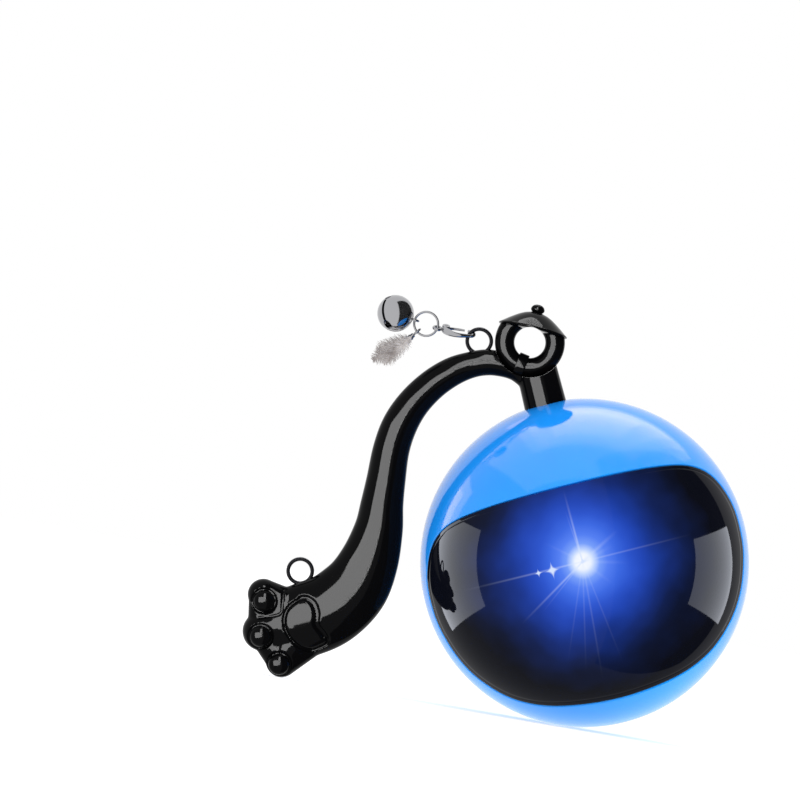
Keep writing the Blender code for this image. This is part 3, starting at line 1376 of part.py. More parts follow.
def make_weight():
    """Axle and the heavy sector that it swings round inside the frame."""
    low = COVER_INNER - GEAR_COVER_WALL
    high = FRAME_OUTER + BUSH_HEAD + BUSH_WALL
    axle = cylinder(
        "weight_axle", AXLE_RADIUS, high - low, ((low + high) / 2, 0, 0), TO_X, ROUND_STEPS)
    finish(axle, STEEL, pivots["weight"])
    turns = [math.pi + math.radians(8) + (math.pi - math.radians(16)) * i / 16 for i in range(17)]
    sector = [(WEIGHT_RADIUS * math.cos(a), WEIGHT_RADIUS * math.sin(a)) for a in turns]
    hub_turns = [math.pi * i / 8 for i in range(9)]
    hub = [(WEIGHT_HUB_RADIUS * math.cos(a), WEIGHT_HUB_RADIUS * math.sin(a)) for a in hub_turns]
    bore = circle(AXLE_RADIUS + RUN_GAP)
    weight = flat_form(
        "swing_weight", [sector + hub, bore], WEIGHT_WIDTH, (0, 0, 0), TO_X)
    finish(weight, DARK_STEEL, pivots["weight"])


def make_battery():
    """Cell beside the frame, held to the right plate by a strap with two feet."""
    centre_x = battery_x()
    profile = [
        (0, BATTERY_LENGTH / 2 + BATTERY_CAP_HEIGHT),
        (BATTERY_CAP_RADIUS, BATTERY_LENGTH / 2 + BATTERY_CAP_HEIGHT),
        (BATTERY_CAP_RADIUS, BATTERY_LENGTH / 2),
        (BATTERY_RADIUS - BATTERY_CAP_HEIGHT / 2, BATTERY_LENGTH / 2),
        (BATTERY_RADIUS, BATTERY_LENGTH / 2 - BATTERY_CAP_HEIGHT / 2),
        (BATTERY_RADIUS, -BATTERY_LENGTH / 2), (0, -BATTERY_LENGTH / 2),
    ]
    cell = turned("battery", profile, (centre_x, 0, battery_z()), UPRIGHT, ROUND_STEPS)
    finish(cell, BATTERY_WRAP)
    make_battery_strap(centre_x)


def battery_x():
    return FRAME_OUTER + BUSH_HEAD + BUSH_WALL + FIT_GAP + BATTERY_RADIUS


def battery_z():
    return -BATTERY_CAP_HEIGHT


def make_battery_strap(centre_x):
    """Strap round the outer side of the cell, down to the right side plate."""
    inner = BATTERY_RADIUS + FIT_GAP
    outer = inner + STRAP_BAND_WALL
    foot = FRAME_OUTER + FIT_GAP
    turns = [-math.pi / 2 + math.pi * i / SMALL_STEPS for i in range(SMALL_STEPS + 1)]
    reach = centre_x - foot
    rim = [(-reach, -outer)] + [(outer * math.cos(a), outer * math.sin(a)) for a in turns]
    rim += [(-reach, outer), (-reach, inner)]
    rim += [(inner * math.cos(a), inner * math.sin(a)) for a in reversed(turns)]
    rim += [(-reach, -inner)]
    band = flat_form(
        "battery_strap", [rim], STRAP_BAND_WIDTH, (centre_x, 0, battery_z()), UPRIGHT)
    finish(band, WHITE_PLASTIC)


# Light and boards

def front_post_y():
    """Where the frame's front posts end, towards the lens."""
    return -(POST_RING * math.cos(math.radians(28)) + POST_RADIUS)


def make_light():
    """Round board on the frame's front posts, with the lamp and its reflector."""
    back = front_post_y() - FIT_GAP
    board = cylinder(
        "led_board", LED_BOARD_RADIUS, BOARD_THICKNESS, (0, back - BOARD_THICKNESS / 2, 0), TO_Y)
    finish(board, BOARD_GREEN)
    face = back - BOARD_THICKNESS - FIT_GAP
    dome = arc(LED_RADIUS, 0, math.pi / 2, 4)
    profile = [(0, LED_LENGTH)]
    profile += [(r, LED_LENGTH - LED_RADIUS + h) for r, h in reversed(dome[:-1])]
    profile += [(LED_RADIUS, LED_RADIUS / 3), (1.15 * LED_RADIUS, LED_RADIUS / 3),
                (1.15 * LED_RADIUS, 0), (0, 0)]
    lamp = turned("led", profile, (0, face, 0), TO_FRONT, SMALL_STEPS + 4)
    finish(lamp, CLEAR_LED)
    low = 1.15 * LED_RADIUS + FIT_GAP
    dish = [
        (REFLECTOR_RADIUS, REFLECTOR_HEIGHT), (low + REFLECTOR_WALL, 0), (low, 0),
        (low, REFLECTOR_WALL), (REFLECTOR_RADIUS - REFLECTOR_WALL, REFLECTOR_HEIGHT),
    ]
    finish(turned("led_reflector", dish, (0, face, 0), TO_FRONT, ROUND_STEPS), WHITE_PLASTIC)


SOCKET_BACK = POCKET_FLOOR - FIT_GAP - SOCKET_LENGTH
BOARD_FACE = SOCKET_BACK - FIT_GAP


def make_boards():
    """Upright main board between the side plates, with the charging socket."""
    middle = (BUTTON_RISE - PORT_DROP) / 2
    board = block(
        "main_board", (2 * (FRAME_INNER - FIT_GAP), BOARD_THICKNESS, MAIN_BOARD_HEIGHT),
        (0, BOARD_FACE - BOARD_THICKNESS / 2, middle))
    finish(board, BOARD_GREEN)
    outer = slot_outline(SOCKET_WIDTH, SOCKET_HEIGHT)
    inner = slot_outline(SOCKET_WIDTH - 2 * SOCKET_WALL, SOCKET_HEIGHT - 2 * SOCKET_WALL)
    socket = flat_form(
        "usb_socket", [outer], SOCKET_LENGTH,
        (0, SOCKET_BACK + SOCKET_LENGTH / 2, -PORT_DROP), TO_FRONT)
    mouth = flat_form(
        "socket_mouth", [inner], SOCKET_LENGTH,
        (0, SOCKET_BACK + SOCKET_LENGTH / 2 + 2 * SOCKET_WALL, -PORT_DROP), TO_FRONT)
    tongue = block(
        "socket_tongue", (SOCKET_WIDTH / 2, SOCKET_LENGTH - 2 * SOCKET_WALL, 2 * SOCKET_WALL),
        (0, SOCKET_BACK + SOCKET_LENGTH / 2, -PORT_DROP))
    cut(socket, mouth)
    join(socket, tongue)
    finish(socket, STEEL)


def make_button():
    """Power button: a cap in the shell's hole, kept in by its flange, over the switch."""
    top = BALL_RADIUS + SHELL_WALL
    inner_edge = wall_at(0, BUTTON_RISE + BUTTON_RADIUS + 2 * BUTTON_FLANGE, INNER_RADIUS)
    flange_top = inner_edge - FIT_GAP
    flange_low = flange_top - BUTTON_FLANGE
    profile = [
        (0, top), (BUTTON_RADIUS, top), (BUTTON_RADIUS, flange_top),
        (BUTTON_RADIUS + BUTTON_FLANGE, flange_top), (BUTTON_RADIUS + BUTTON_FLANGE, flange_low),
        (0, flange_low),
    ]
    button = turned("power_button", profile, (0, 0, BUTTON_RISE), TO_Y, ROUND_STEPS)
    keep_common(button, ball_form(
        "button_dome", BALL_RADIUS + BUTTON_PROUD, (0, 0, 0), steps=2 * ROUND_STEPS))
    finish(button, BLACK_PLASTIC, pivots["button"])
    stem_top = flange_low - BUTTON_TRAVEL - FIT_GAP
    low = BOARD_FACE + FIT_GAP
    switch = block(
        "tact_switch", (SWITCH_WIDTH, SWITCH_HEIGHT, SWITCH_WIDTH),
        (0, low + SWITCH_HEIGHT / 2, BUTTON_RISE))
    stem = cylinder(
        "switch_stem", SWITCH_STEM_RADIUS, stem_top - low - SWITCH_HEIGHT / 2,
        (0, (stem_top + low + SWITCH_HEIGHT / 2) / 2, BUTTON_RISE), TO_Y, SMALL_STEPS)
    join(switch, stem)
    finish(switch, BLACK_PLASTIC)


# Screws

def screw(name, length, seat, x, z, side):
    """Pan-head screw whose head seats at y = seat; side is +1 where its head looks back."""
    head = SCREW_HEAD_HEIGHT
    profile = [
        (0, head), (0.8 * SCREW_HEAD_RADIUS, head), (SCREW_HEAD_RADIUS, 0), (SCREW_RADIUS, 0),
        (SCREW_RADIUS, -length + SCREW_RADIUS), (0, -length),
    ]
    turn = TO_Y if side > 0 else TO_FRONT
    return finish(turned(name, profile, (x, seat, z), turn, SMALL_STEPS), STEEL)


def make_screws():
    for i, (x, z) in enumerate(shell_screw_places()):
        screw(f"shell_screw_{i + 1}", SCREW_LENGTH, SCREW_SEAT, x, z, 1)
    for i, (x, z) in enumerate(frame_screw_places()):
        seat = LUG_BACK - LUG_REACH / 2 - FIT_GAP
        screw(f"frame_screw_{i + 1}", FRAME_SCREW_LENGTH, seat, x, z, -1)


# Pivots of the moving bodies, each on its joint's axis

pivots = {
    "neck": empty("neck_pivot", ball, (0, 0, BALL_RADIUS)),
    "ring": empty("ring_pivot", ball, RING_CENTRE),
    "clasp": empty("clasp_pivot", ball, EYELET_CENTRE),
    "gate": empty("gate_pivot", ball, clasp_point(*GATE_PIN)),
    "link": empty("link_pivot", ball, CLASP_EYE),
    "bell": empty("bell_pivot", ball, LINK_CENTRE),
    "feather": empty("feather_pivot", ball, LINK_CENTRE),
    "pellet": empty("pellet_pivot", ball, pellet_centre()),
    "weight": empty("weight_pivot", ball, (0, 0, 0)),
    "idler": empty("idler_pivot", ball, IDLER_AXIS),
    "pinion": empty("pinion_pivot", ball, MOTOR_AXIS),
    "button": empty("button_pivot", ball, (0, BALL_RADIUS, BUTTON_RISE)),
}

make_front_shell()
make_rear_shell()
make_lens()
make_tail()
make_neck_plug()
make_ring()
make_hat()
make_eyelets()
make_clasp()
make_link()
make_bell()
make_pellet()
make_feathers()
make_frame()
make_gear_cover()
make_gears()
make_motor()
make_idler_pin()
make_bushes()
make_weight()
make_battery()
make_light()
make_boards()
make_button()
make_screws()
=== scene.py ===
# %% [markdown]
# A cat ball toy: a glossy blue ball with a smoked lens and a lamp behind it, and a black tail
# that ends in a paw. The imported model comes first. It is the fixed frame that every finer
# piece is built round, and its joints say where the moving pieces turn.

# %% Load the imported model
import json
import math
import random

import bmesh
import bpy
from mathutils import Matrix, Vector
from mathutils.bvhtree import BVHTree

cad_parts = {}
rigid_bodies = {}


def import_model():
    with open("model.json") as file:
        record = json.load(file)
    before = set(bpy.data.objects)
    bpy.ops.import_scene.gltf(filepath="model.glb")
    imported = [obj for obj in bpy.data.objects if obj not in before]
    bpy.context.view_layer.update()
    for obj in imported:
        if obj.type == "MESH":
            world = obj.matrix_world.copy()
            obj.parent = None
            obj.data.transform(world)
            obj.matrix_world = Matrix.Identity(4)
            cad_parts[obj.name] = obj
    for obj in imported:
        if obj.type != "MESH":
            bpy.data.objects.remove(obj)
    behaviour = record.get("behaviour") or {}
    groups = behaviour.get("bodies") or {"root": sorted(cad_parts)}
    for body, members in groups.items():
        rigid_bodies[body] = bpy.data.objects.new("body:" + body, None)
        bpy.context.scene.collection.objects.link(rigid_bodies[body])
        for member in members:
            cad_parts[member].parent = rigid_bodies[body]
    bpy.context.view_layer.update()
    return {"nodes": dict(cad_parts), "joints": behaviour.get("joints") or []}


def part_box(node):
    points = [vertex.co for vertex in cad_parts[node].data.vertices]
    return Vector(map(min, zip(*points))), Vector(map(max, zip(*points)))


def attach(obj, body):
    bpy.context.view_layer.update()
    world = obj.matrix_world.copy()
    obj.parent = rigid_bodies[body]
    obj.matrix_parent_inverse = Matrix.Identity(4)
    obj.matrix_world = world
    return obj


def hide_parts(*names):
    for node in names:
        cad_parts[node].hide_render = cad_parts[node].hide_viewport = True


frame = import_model()

# %% [markdown]
# The toy stands on its ball and its lowest toe, so the ball leans over. Everything is simpler
# to draw upright: in the ball's own frame the centre is the zero point, Z runs along the neck
# and the lens looks along minus Y. One matrix carries each finished piece from that frame to
# its real place. The neck joint's axis and the ring joint's place give the matrix.

# %% The ball's own frame
BALL_RADIUS = 0.0375
SHELL_WALL = 0.0022
RING_RISE = 0.0143

joints = {joint["name"]: joint for joint in frame["joints"]}
neck_axis = Vector(joints["neck_swivel"]["axis"]).normalized()
side_axis = Vector((0, 1, 0)).cross(neck_axis)
ball_centre = Vector(joints["ring_turn"]["pos_m"]) - neck_axis * (BALL_RADIUS + RING_RISE)
BALL = Matrix((side_axis, Vector((0, 1, 0)), neck_axis)).transposed().to_4x4()
BALL.translation = ball_centre


def joint_place(name):
    """A joint's place in the ball's own frame."""
    return BALL.inverted() @ Vector(joints[name]["pos_m"])


print("ball centre", ball_centre[:], "lean", math.degrees(math.atan2(-neck_axis.x, neck_axis.z)))

# %% [markdown]
# The camera looks straight at the lens from five metres. A long lens from far off keeps the
# ball round. The photograph shows the neck leaning less than the standing toy does, so the camera
# is rolled by the difference, as if its operator had tilted the frame.

# %% Camera
CAMERA_DISTANCE = 5.0
FRAME_WIDTH = 0.1824
SENSOR_WIDTH = 36.0
CAMERA_ROLL = math.radians(9.8)
FRAME_MIDDLE = Vector((-0.0319, 0, 0.0462))

aim = BALL @ FRAME_MIDDLE
camera = bpy.data.objects.new("camera", bpy.data.cameras.new("camera"))
bpy.context.scene.collection.objects.link(camera)
right = Vector((math.cos(CAMERA_ROLL), 0, math.sin(CAMERA_ROLL)))
upward = Vector((-math.sin(CAMERA_ROLL), 0, math.cos(CAMERA_ROLL)))
backward = right.cross(upward)
camera.matrix_world = Matrix.Translation(aim + backward * CAMERA_DISTANCE) @ Matrix(
    (right, upward, backward)).transposed().to_4x4()
camera.data.sensor_width = SENSOR_WIDTH
camera.data.lens = SENSOR_WIDTH * CAMERA_DISTANCE / FRAME_WIDTH
camera.data.clip_start = CAMERA_DISTANCE / 100
bpy.context.scene.camera = camera
bpy.context.scene.view_settings.view_transform = "Standard"
print("camera at", camera.location[:], "lens", round(camera.data.lens, 1))

# %% [markdown]
# Finishes are built from nodes. A small class keeps each one short: it adds nodes, and feeds
# them or plain numbers to the shader's own sockets. All patterns read object coordinates, so
# they stay on the piece when it moves. Colours are written as they look on screen, from 0 to
# 255, and turned into the light values that the shader needs.

# %% A builder for finishes
MM = 0.001


def tone(red, green, blue):
    """The shader's colour for a colour as it looks on screen."""
    shares = [part / 255 for part in (red, green, blue)]
    light = [v / 12.92 if v <= 0.04045 else ((v + 0.055) / 1.055) ** 2.4 for v in shares]
    return (*light, 1)


class Finish:
    """One procedural material, built up node by node."""

    def __init__(self, name):
        self.material = bpy.data.materials.new(name)
        self.material.use_nodes = True
        self.tree = self.material.node_tree
        self.surface = self.tree.nodes["Principled BSDF"]
        self.place = self.add("ShaderNodeTexCoord").outputs["Object"]

    def add(self, kind, **settings):
        node = self.tree.nodes.new(kind)
        for key, value in settings.items():
            setattr(node, key, value)
        return node

    def feed(self, socket, value):
        """Wires a node's output into a socket, or sets the socket's own value."""
        if isinstance(value, bpy.types.NodeSocket):
            self.tree.links.new(value, socket)
        else:
            socket.default_value = value

    def maths(self, operation, *values, clamp=False):
        node = self.add("ShaderNodeMath", operation=operation, use_clamp=clamp)
        for socket, value in zip(node.inputs, values):
            self.feed(socket, value)
        return node.outputs[0]

    def noise(self, size, detail=3.0, stretch=None):
        """Cloudy noise whose blots are about size metres across."""
        place = self.place
        if stretch:
            bent = self.add("ShaderNodeMapping")
            bent.inputs["Scale"].default_value = stretch
            self.feed(bent.inputs["Vector"], place)
            place = bent.outputs[0]
        node = self.add("ShaderNodeTexNoise")
        node.inputs["Scale"].default_value = 1 / size
        node.inputs["Detail"].default_value = detail
        self.feed(node.inputs["Vector"], place)
        return node.outputs["Fac"]

    def spread(self, value, low, high, start=0.3, end=0.7):
        """Maps a value from start..end to low..high."""
        node = self.add("ShaderNodeMapRange")
        for name, number in zip(("From Min", "From Max", "To Min", "To Max"),
                                (start, end, low, high)):
            node.inputs[name].default_value = number
        self.feed(node.inputs["Value"], value)
        return node.outputs[0]

    def mix(self, share, first, second):
        node = self.add("ShaderNodeMix", data_type="RGBA")
        self.feed(node.inputs["Factor"], share)
        self.feed(node.inputs[6], first)
        self.feed(node.inputs[7], second)
        return node.outputs[2]

    def bumps(self, height, depth):
        """Raises the surface where height is high, by up to depth metres."""
        node = self.add("ShaderNodeBump")
        node.inputs["Strength"].default_value = 1.0
        node.inputs["Distance"].default_value = depth
        self.feed(node.inputs["Height"], height)
        self.set(Normal=node.outputs[0])

    def set(self, **values):
        """Feeds the shader's sockets, such as Base Color, Metallic or IOR."""
        for name, value in values.items():
            self.feed(self.surface.inputs[name.replace("_", " ")], value)
        return self


# %% [markdown]
# Most of the toy is moulded plastic or plated wire. Neither is one flat colour: the tone and
# the gloss drift a little over a few millimetres, and a skin far finer than that breaks the
# reflections. One recipe covers both, and each finish gives its own colour, gloss and grain.

# %% Moulded and plated finishes
CLOUD_SIZE = 7 * MM
# How far the roughness drifts, as shares of its own value
GLOSS_DRIFT = (0.8, 1.25)


def moulded(name, colour, roughness, grain, depth, drift=0.05, **numbers):
    """A surface whose tone and gloss drift slightly, with a fine skin."""
    made = Finish(name)
    cloud = made.noise(CLOUD_SIZE)
    darker = [part * (1 - drift) for part in colour[:3]] + [1]
    lighter = [min(1, part * (1 + drift)) for part in colour[:3]] + [1]
    made.bumps(made.noise(grain, 2.0), depth)
    return made.set(Base_Color=made.mix(cloud, darker, lighter),
                    Roughness=made.spread(cloud, *[roughness * share for share in GLOSS_DRIFT]),
                    **numbers)


blue_plastic = moulded("blue_plastic", tone(28, 149, 255), 0.10, 1.2 * MM, 0.0006 * MM, IOR=1.40)
black_rubber = moulded("black_rubber", tone(8, 8, 9), 0.07, 0.9 * MM, 0.0006 * MM, IOR=1.13)
black_plastic = moulded("black_plastic", tone(8, 8, 9), 0.06, 1.1 * MM, 0.0006 * MM, IOR=1.13)
nickel = moulded("nickel", tone(172, 172, 175), 0.12, 0.5 * MM, 0.004 * MM, Metallic=1.0)
black_chrome = moulded("black_chrome", tone(44, 44, 47), 0.10, 0.5 * MM, 0.004 * MM, Metallic=1.0)
brass = moulded("brass", tone(214, 182, 108), 0.25, 0.6 * MM, 0.004 * MM, Metallic=1.0)
cast_iron = moulded("cast_iron", tone(92, 92, 96), 0.42, 0.4 * MM, 0.02 * MM, 0.15, Metallic=1.0)
white_plastic = moulded("white_plastic", tone(226, 225, 220), 0.38, 0.5 * MM, 0.003 * MM)
battery_wrap = moulded("battery_wrap", tone(52, 88, 168), 0.30, 2.0 * MM, 0.01 * MM, 0.10)
clear_lamp = moulded("clear_lamp", tone(190, 214, 255), 0.06, 0.8 * MM, 0.0005 * MM,
                     Transmission_Weight=0.8)
print("plain finishes:", len(bpy.data.materials))

# %% [markdown]
# Circuit boards are green lacquer over copper tracks. The edges of a cell pattern give thin
# lines like tracks: it lightens the lacquer there and lifts it by a few hundredths.

# %% Circuit board finish
TRACK_SIZE = 1.4 * MM

board_green = Finish("board_green")
tracks = board_green.add("ShaderNodeTexVoronoi", feature="DISTANCE_TO_EDGE")
tracks.inputs["Scale"].default_value = 1 / TRACK_SIZE
board_green.feed(tracks.inputs["Vector"], board_green.place)
track_line = board_green.spread(tracks.outputs["Distance"], 1.0, 0.0, 0.02, 0.06)
board_green.set(Base_Color=board_green.mix(track_line, tone(20, 92, 52), tone(46, 138, 84)),
                Roughness=board_green.spread(track_line, 0.3, 0.4))
board_green.bumps(track_line, 0.02 * MM)
print("board finish ready")

# %% [markdown]
# The lens is smoked plastic with a blue lamp behind it, and the camera sees a white spark with
# a glow round it, some thin rays and two small glints. All of it is painted as light that the
# lens gives off. The sums run in the ball's own frame, so the light stays on the lens from
# every side. A ray is bright close to its own line, and a glint is a small star.

# %% Rays and glints
RAY_FADE = 1.6
GLINT_STRENGTH = 3.0

smoked_lens = Finish("smoked_lens")
maths = smoked_lens.maths
upright = smoked_lens.add("ShaderNodeMapping")
upright.inputs["Location"].default_value = BALL.inverted().translation
upright.inputs["Rotation"].default_value = BALL.inverted().to_euler()
smoked_lens.feed(upright.inputs["Vector"], smoked_lens.place)
axes = smoked_lens.add("ShaderNodeSeparateXYZ")
smoked_lens.feed(axes.inputs[0], upright.outputs[0])


def offset_from(across, up):
    """Distances across and up on the lens from one place."""
    return (maths("SUBTRACT", axes.outputs["X"], across), maths("SUBTRACT", axes.outputs["Z"], up))


def ray_light(across, up, turn, length, width, strength):
    """Light of one thin ray that starts at the lamp and fades along its length."""
    c, s = math.cos(turn), math.sin(turn)
    along = maths("ADD", maths("MULTIPLY", across, c), maths("MULTIPLY", up, s))
    aside = maths("ABSOLUTE", maths("SUBTRACT", maths("MULTIPLY", up, c),
                                    maths("MULTIPLY", across, s)))
    ahead = maths("GREATER_THAN", along, 0.0)
    fade, thin = [maths("SUBTRACT", 1.0, maths("DIVIDE", way, reach), clamp=True)
                  for way, reach in ((along, length), (aside, width))]
    light = maths("MULTIPLY", maths("POWER", fade, RAY_FADE), thin)
    return maths("MULTIPLY", maths("MULTIPLY", light, ahead), strength)


def glint_light(across, up, arm_across, arm_up):
    """Light of a small four-pointed star."""
    far = maths("ADD", *[maths("SQRT", maths("DIVIDE", maths("ABSOLUTE", way), arm))
                         for way, arm in ((across, arm_across), (up, arm_up))])
    inside = maths("SUBTRACT", 1.0, far, clamp=True)
    return maths("MULTIPLY", inside, GLINT_STRENGTH, clamp=True)


print("sums for the lens:", len(smoked_lens.tree.nodes), "nodes so far")

# %% [markdown]
# The glow depends only on the distance from the lamp. A colour ramp gives its fall from white
# through royal blue to black, and soft noise makes the distance a little uneven. The rays and
# glints are added up and lie over it.

# %% Smoked lens with its glow
LAMP_SPOT = Vector((-0.60, 0, 0.76)) * MM
GLOW_REACH = 34 * MM
GLOW_UNEVEN = (0.92, 1.08)
# Colour of the glow at a distance from the lamp in mm
glow_stops = [
    (0.0, (255, 255, 255)), (1.7, (238, 244, 255)), (2.6, (190, 212, 255)),
    (3.8, (118, 158, 250)), (5.6, (82, 126, 242)), (8.0, (58, 104, 226)),
    (10.5, (42, 84, 204)), (13.0, (31, 69, 180)), (16.0, (22, 54, 146)),
    (19.0, (16, 40, 110)), (22.0, (11, 28, 76)), (25.5, (6, 16, 44)), (30.0, (2, 4, 12)),
]
# Rays from the lamp: turn in degrees, length and width in mm, and strength
lamp_rays = [
    (0, 26, 0.30, 0.28), (180, 29, 0.32, 0.45), (91, 17, 0.34, 0.75), (95, 13, 0.22, 0.40),
    (212, 20, 0.34, 0.60), (218, 15, 0.22, 0.30), (28, 11, 0.60, 0.45), (14, 8, 0.60, 0.30),
    (248, 24, 0.26, 0.14), (258, 26, 0.26, 0.16), (266, 28, 0.30, 0.18), (278, 25, 0.26, 0.14),
    (345, 11, 0.55, 0.22), (310, 9, 0.55, 0.20), (140, 10, 0.45, 0.18),
]
# Small glints beside it: across, up, arm across and arm up in mm
lamp_glints = [(-7.73, 0.46, 2.3, 2.6), (-10.9, 0.60, 1.3, 1.3)]

lamp_across, lamp_up = offset_from(LAMP_SPOT.x, LAMP_SPOT.z)
distance = maths("SQRT", maths("ADD", maths("MULTIPLY", lamp_across, lamp_across),
                               maths("MULTIPLY", lamp_up, lamp_up)))
uneven = smoked_lens.spread(smoked_lens.noise(11 * MM, 2.0), *GLOW_UNEVEN)
ramp = smoked_lens.add("ShaderNodeValToRGB")
while len(ramp.color_ramp.elements) < len(glow_stops):
    ramp.color_ramp.elements.new(0.5)
for stop, (radius, colour) in zip(ramp.color_ramp.elements, glow_stops):
    stop.position = radius * MM / GLOW_REACH
    stop.color = tone(*colour)
smoked_lens.feed(ramp.inputs["Fac"],
                 maths("DIVIDE", maths("MULTIPLY", distance, uneven), GLOW_REACH))
sparks = 0.0
for turn, length, width, strength in lamp_rays:
    ray = ray_light(lamp_across, lamp_up, math.radians(turn), length * MM, width * MM, strength)
    sparks = maths("ADD", sparks, ray)
for across, up, arm_across, arm_up in lamp_glints:
    glint = glint_light(*offset_from(across * MM, up * MM), arm_across * MM, arm_up * MM)
    sparks = maths("ADD", sparks, glint)
sparks = maths("MULTIPLY", sparks, 1.0, clamp=True)
smoke = smoked_lens.noise(CLOUD_SIZE)
smoked_lens.set(Base_Color=smoked_lens.mix(smoke, tone(6, 6, 9), tone(12, 12, 17)),
                Roughness=smoked_lens.spread(smoke, 0.03, 0.05), IOR=1.12, Emission_Strength=1.0,
                Emission_Color=smoked_lens.mix(sparks, ramp.outputs["Color"], tone(214, 228, 255)))
print("lens nodes:", len(smoked_lens.tree.nodes))

# %% [markdown]
# Feather down is soft and matt, grey with darker streaks along its barbs. Stretched noise
# gives the streaks, and sheen gives the pale edge that fine fibres show against the light.

# %% Down finish
grey_down = Finish("grey_down")
streak = grey_down.noise(0.5 * MM, 4.0, (1.0, 1.0, 0.25))
patch = grey_down.noise(3.0 * MM)
barb_tone = grey_down.mix(streak, tone(98, 88, 84), tone(178, 170, 167))
grey_down.bumps(streak, 0.05 * MM)
grey_down.set(
    Base_Color=grey_down.mix(grey_down.spread(patch, 0.0, 1.0), barb_tone, tone(205, 200, 198)),
    Roughness=grey_down.spread(streak, 0.75, 0.95), Sheen_Weight=0.5, Sheen_Roughness=0.4)
print("down finish ready")

# %% [markdown]
# Pieces are meshes over rows of points. Most forms here are a section carried along a line or
# turned round an axis, so one skin function serves nearly all of them. Each mesh is drawn in
# the ball's own frame, and the matrix carries its points to the room at the end.

# %% Helpers for meshes
scene = bpy.context.scene


def tidy(name, points, faces):
    """A clean mesh: doubled points are merged and the faces look outwards."""
    made = bpy.data.meshes.new(name)
    made.from_pydata([tuple(point) for point in points], [], faces)
    work = bmesh.new()
    work.from_mesh(made)
    bmesh.ops.remove_doubles(work, verts=work.verts, dist=BALL_RADIUS / 1e6)
    bmesh.ops.recalc_face_normals(work, faces=work.faces)
    work.to_mesh(made)
    work.free()
    return made


def skin(name, rows, along=False, across=True, ends=False):
    """Faces over rows of points. along joins the last row to the first, across closes each
    row, and ends caps the first and the last row."""
    count = len(rows[0])
    points = [point for row in rows for point in row]
    faces = []
    for r in range(len(rows) if along else len(rows) - 1):
        low = r * count
        high = (r + 1) % len(rows) * count
        for c in range(count if across else count - 1):
            d = (c + 1) % count
            faces.append((low + c, low + d, high + d, high + c))
    if ends:
        faces += [tuple(range(count)), tuple(range(len(points) - count, len(points)))]
    return tidy(name, points, faces)


def oval(across, deep, steps):
    """Offsets round an oval section."""
    turns = [2 * math.pi * i / steps for i in range(steps)]
    return [(across * math.cos(a), deep * math.sin(a)) for a in turns]


def sweep(name, path, sizes, normal, steps=24, closed=False):
    """An oval section carried along a path that lies near the plane with this normal."""
    rows = []
    last = len(path) - 1
    for i, place in enumerate(path):
        ahead = path[(i + 1) % len(path)] if closed else path[min(i + 1, last)]
        behind = path[i - 1] if closed else path[max(i - 1, 0)]
        side = normal.cross(ahead - behind).normalized()
        rows.append([place + side * a + normal * b for a, b in oval(*sizes[i], steps)])
    return skin(name, rows, along=closed, ends=not closed)


def turned(name, profile, steps=64, closed=False):
    """A profile of (radius, height) points turned round Z."""
    turns = [2 * math.pi * i / steps for i in range(steps)]
    rows = [[Vector((r * math.cos(a), r * math.sin(a), h)) for a in turns] for r, h in profile]
    return skin(name, rows, along=closed)


def softened(profile, radius, steps=4, closed=False):
    """The same profile with each corner rounded."""
    count = len(profile)
    out = []
    for i, spot in enumerate(profile):
        here = Vector(spot)
        if not closed and i in (0, count - 1):
            out.append(tuple(here))
            continue
        before = Vector(profile[i - 1]) - here
        after = Vector(profile[(i + 1) % count]) - here
        start = here + before.normalized() * min(radius, before.length / 2)
        end = here + after.normalized() * min(radius, after.length / 2)
        for k in range(steps + 1):
            t = k / steps
            out.append(tuple(start * (1 - t) ** 2 + here * 2 * t * (1 - t) + end * t * t))
    return out


def smooth_run(points, between, closed=False):
    """More points on a smooth line through the given ones."""
    count = len(points)
    run = []
    for i in range(count if closed else count - 1):
        near = [i + k for k in (-1, 0, 1, 2)]
        a, b, c, d = [points[k % count] if closed else points[min(max(k, 0), count - 1)]
                      for k in near]
        for step in range(between):
            t = step / between
            run.append((2 * b + (c - a) * t + (2 * a - 5 * b + 4 * c - d) * t * t
                        + (3 * b - a - 3 * c + d) * t * t * t) / 2)
    return run if closed else run + [points[-1].copy()]


print("helpers for skins ready")

# %% [markdown]
# A finished form is put in its place, may be cut by others and may be joined with others.

# %% Placing, cutting and keeping
def placed(mesh, centre, direction=None, turn=None):
    """Moves a mesh whose Z axis should point along direction to its centre."""
    if direction is not None:
        mesh.transform(direction.to_track_quat("Z", "Y").to_matrix().to_4x4())
    if turn is not None:
        mesh.transform(turn.to_4x4())
    mesh.transform(Matrix.Translation(centre))
    return mesh


def carved(base, tools, operation="DIFFERENCE"):
    """The base mesh after exact Booleans with the tool meshes."""
    helpers = [bpy.data.objects.new("helper", mesh) for mesh in [base, *tools]]
    for helper in helpers:
        scene.collection.objects.link(helper)
    for helper in helpers[1:]:
        step = helpers[0].modifiers.new("step", "BOOLEAN")
        step.operation = operation
        step.solver = "EXACT"
        step.object = helper
    bpy.context.view_layer.update()
    seen = helpers[0].evaluated_get(bpy.context.evaluated_depsgraph_get())
    made = bpy.data.meshes.new_from_object(seen)
    for helper in helpers:
        bpy.data.objects.remove(helper, do_unlink=True)
    return made


def together(meshes):
    """Several meshes as one."""
    work = bmesh.new()
    for mesh in meshes:
        work.from_mesh(mesh)
    made = bpy.data.meshes.new(meshes[0].name)
    work.to_mesh(made)
    work.free()
    return made


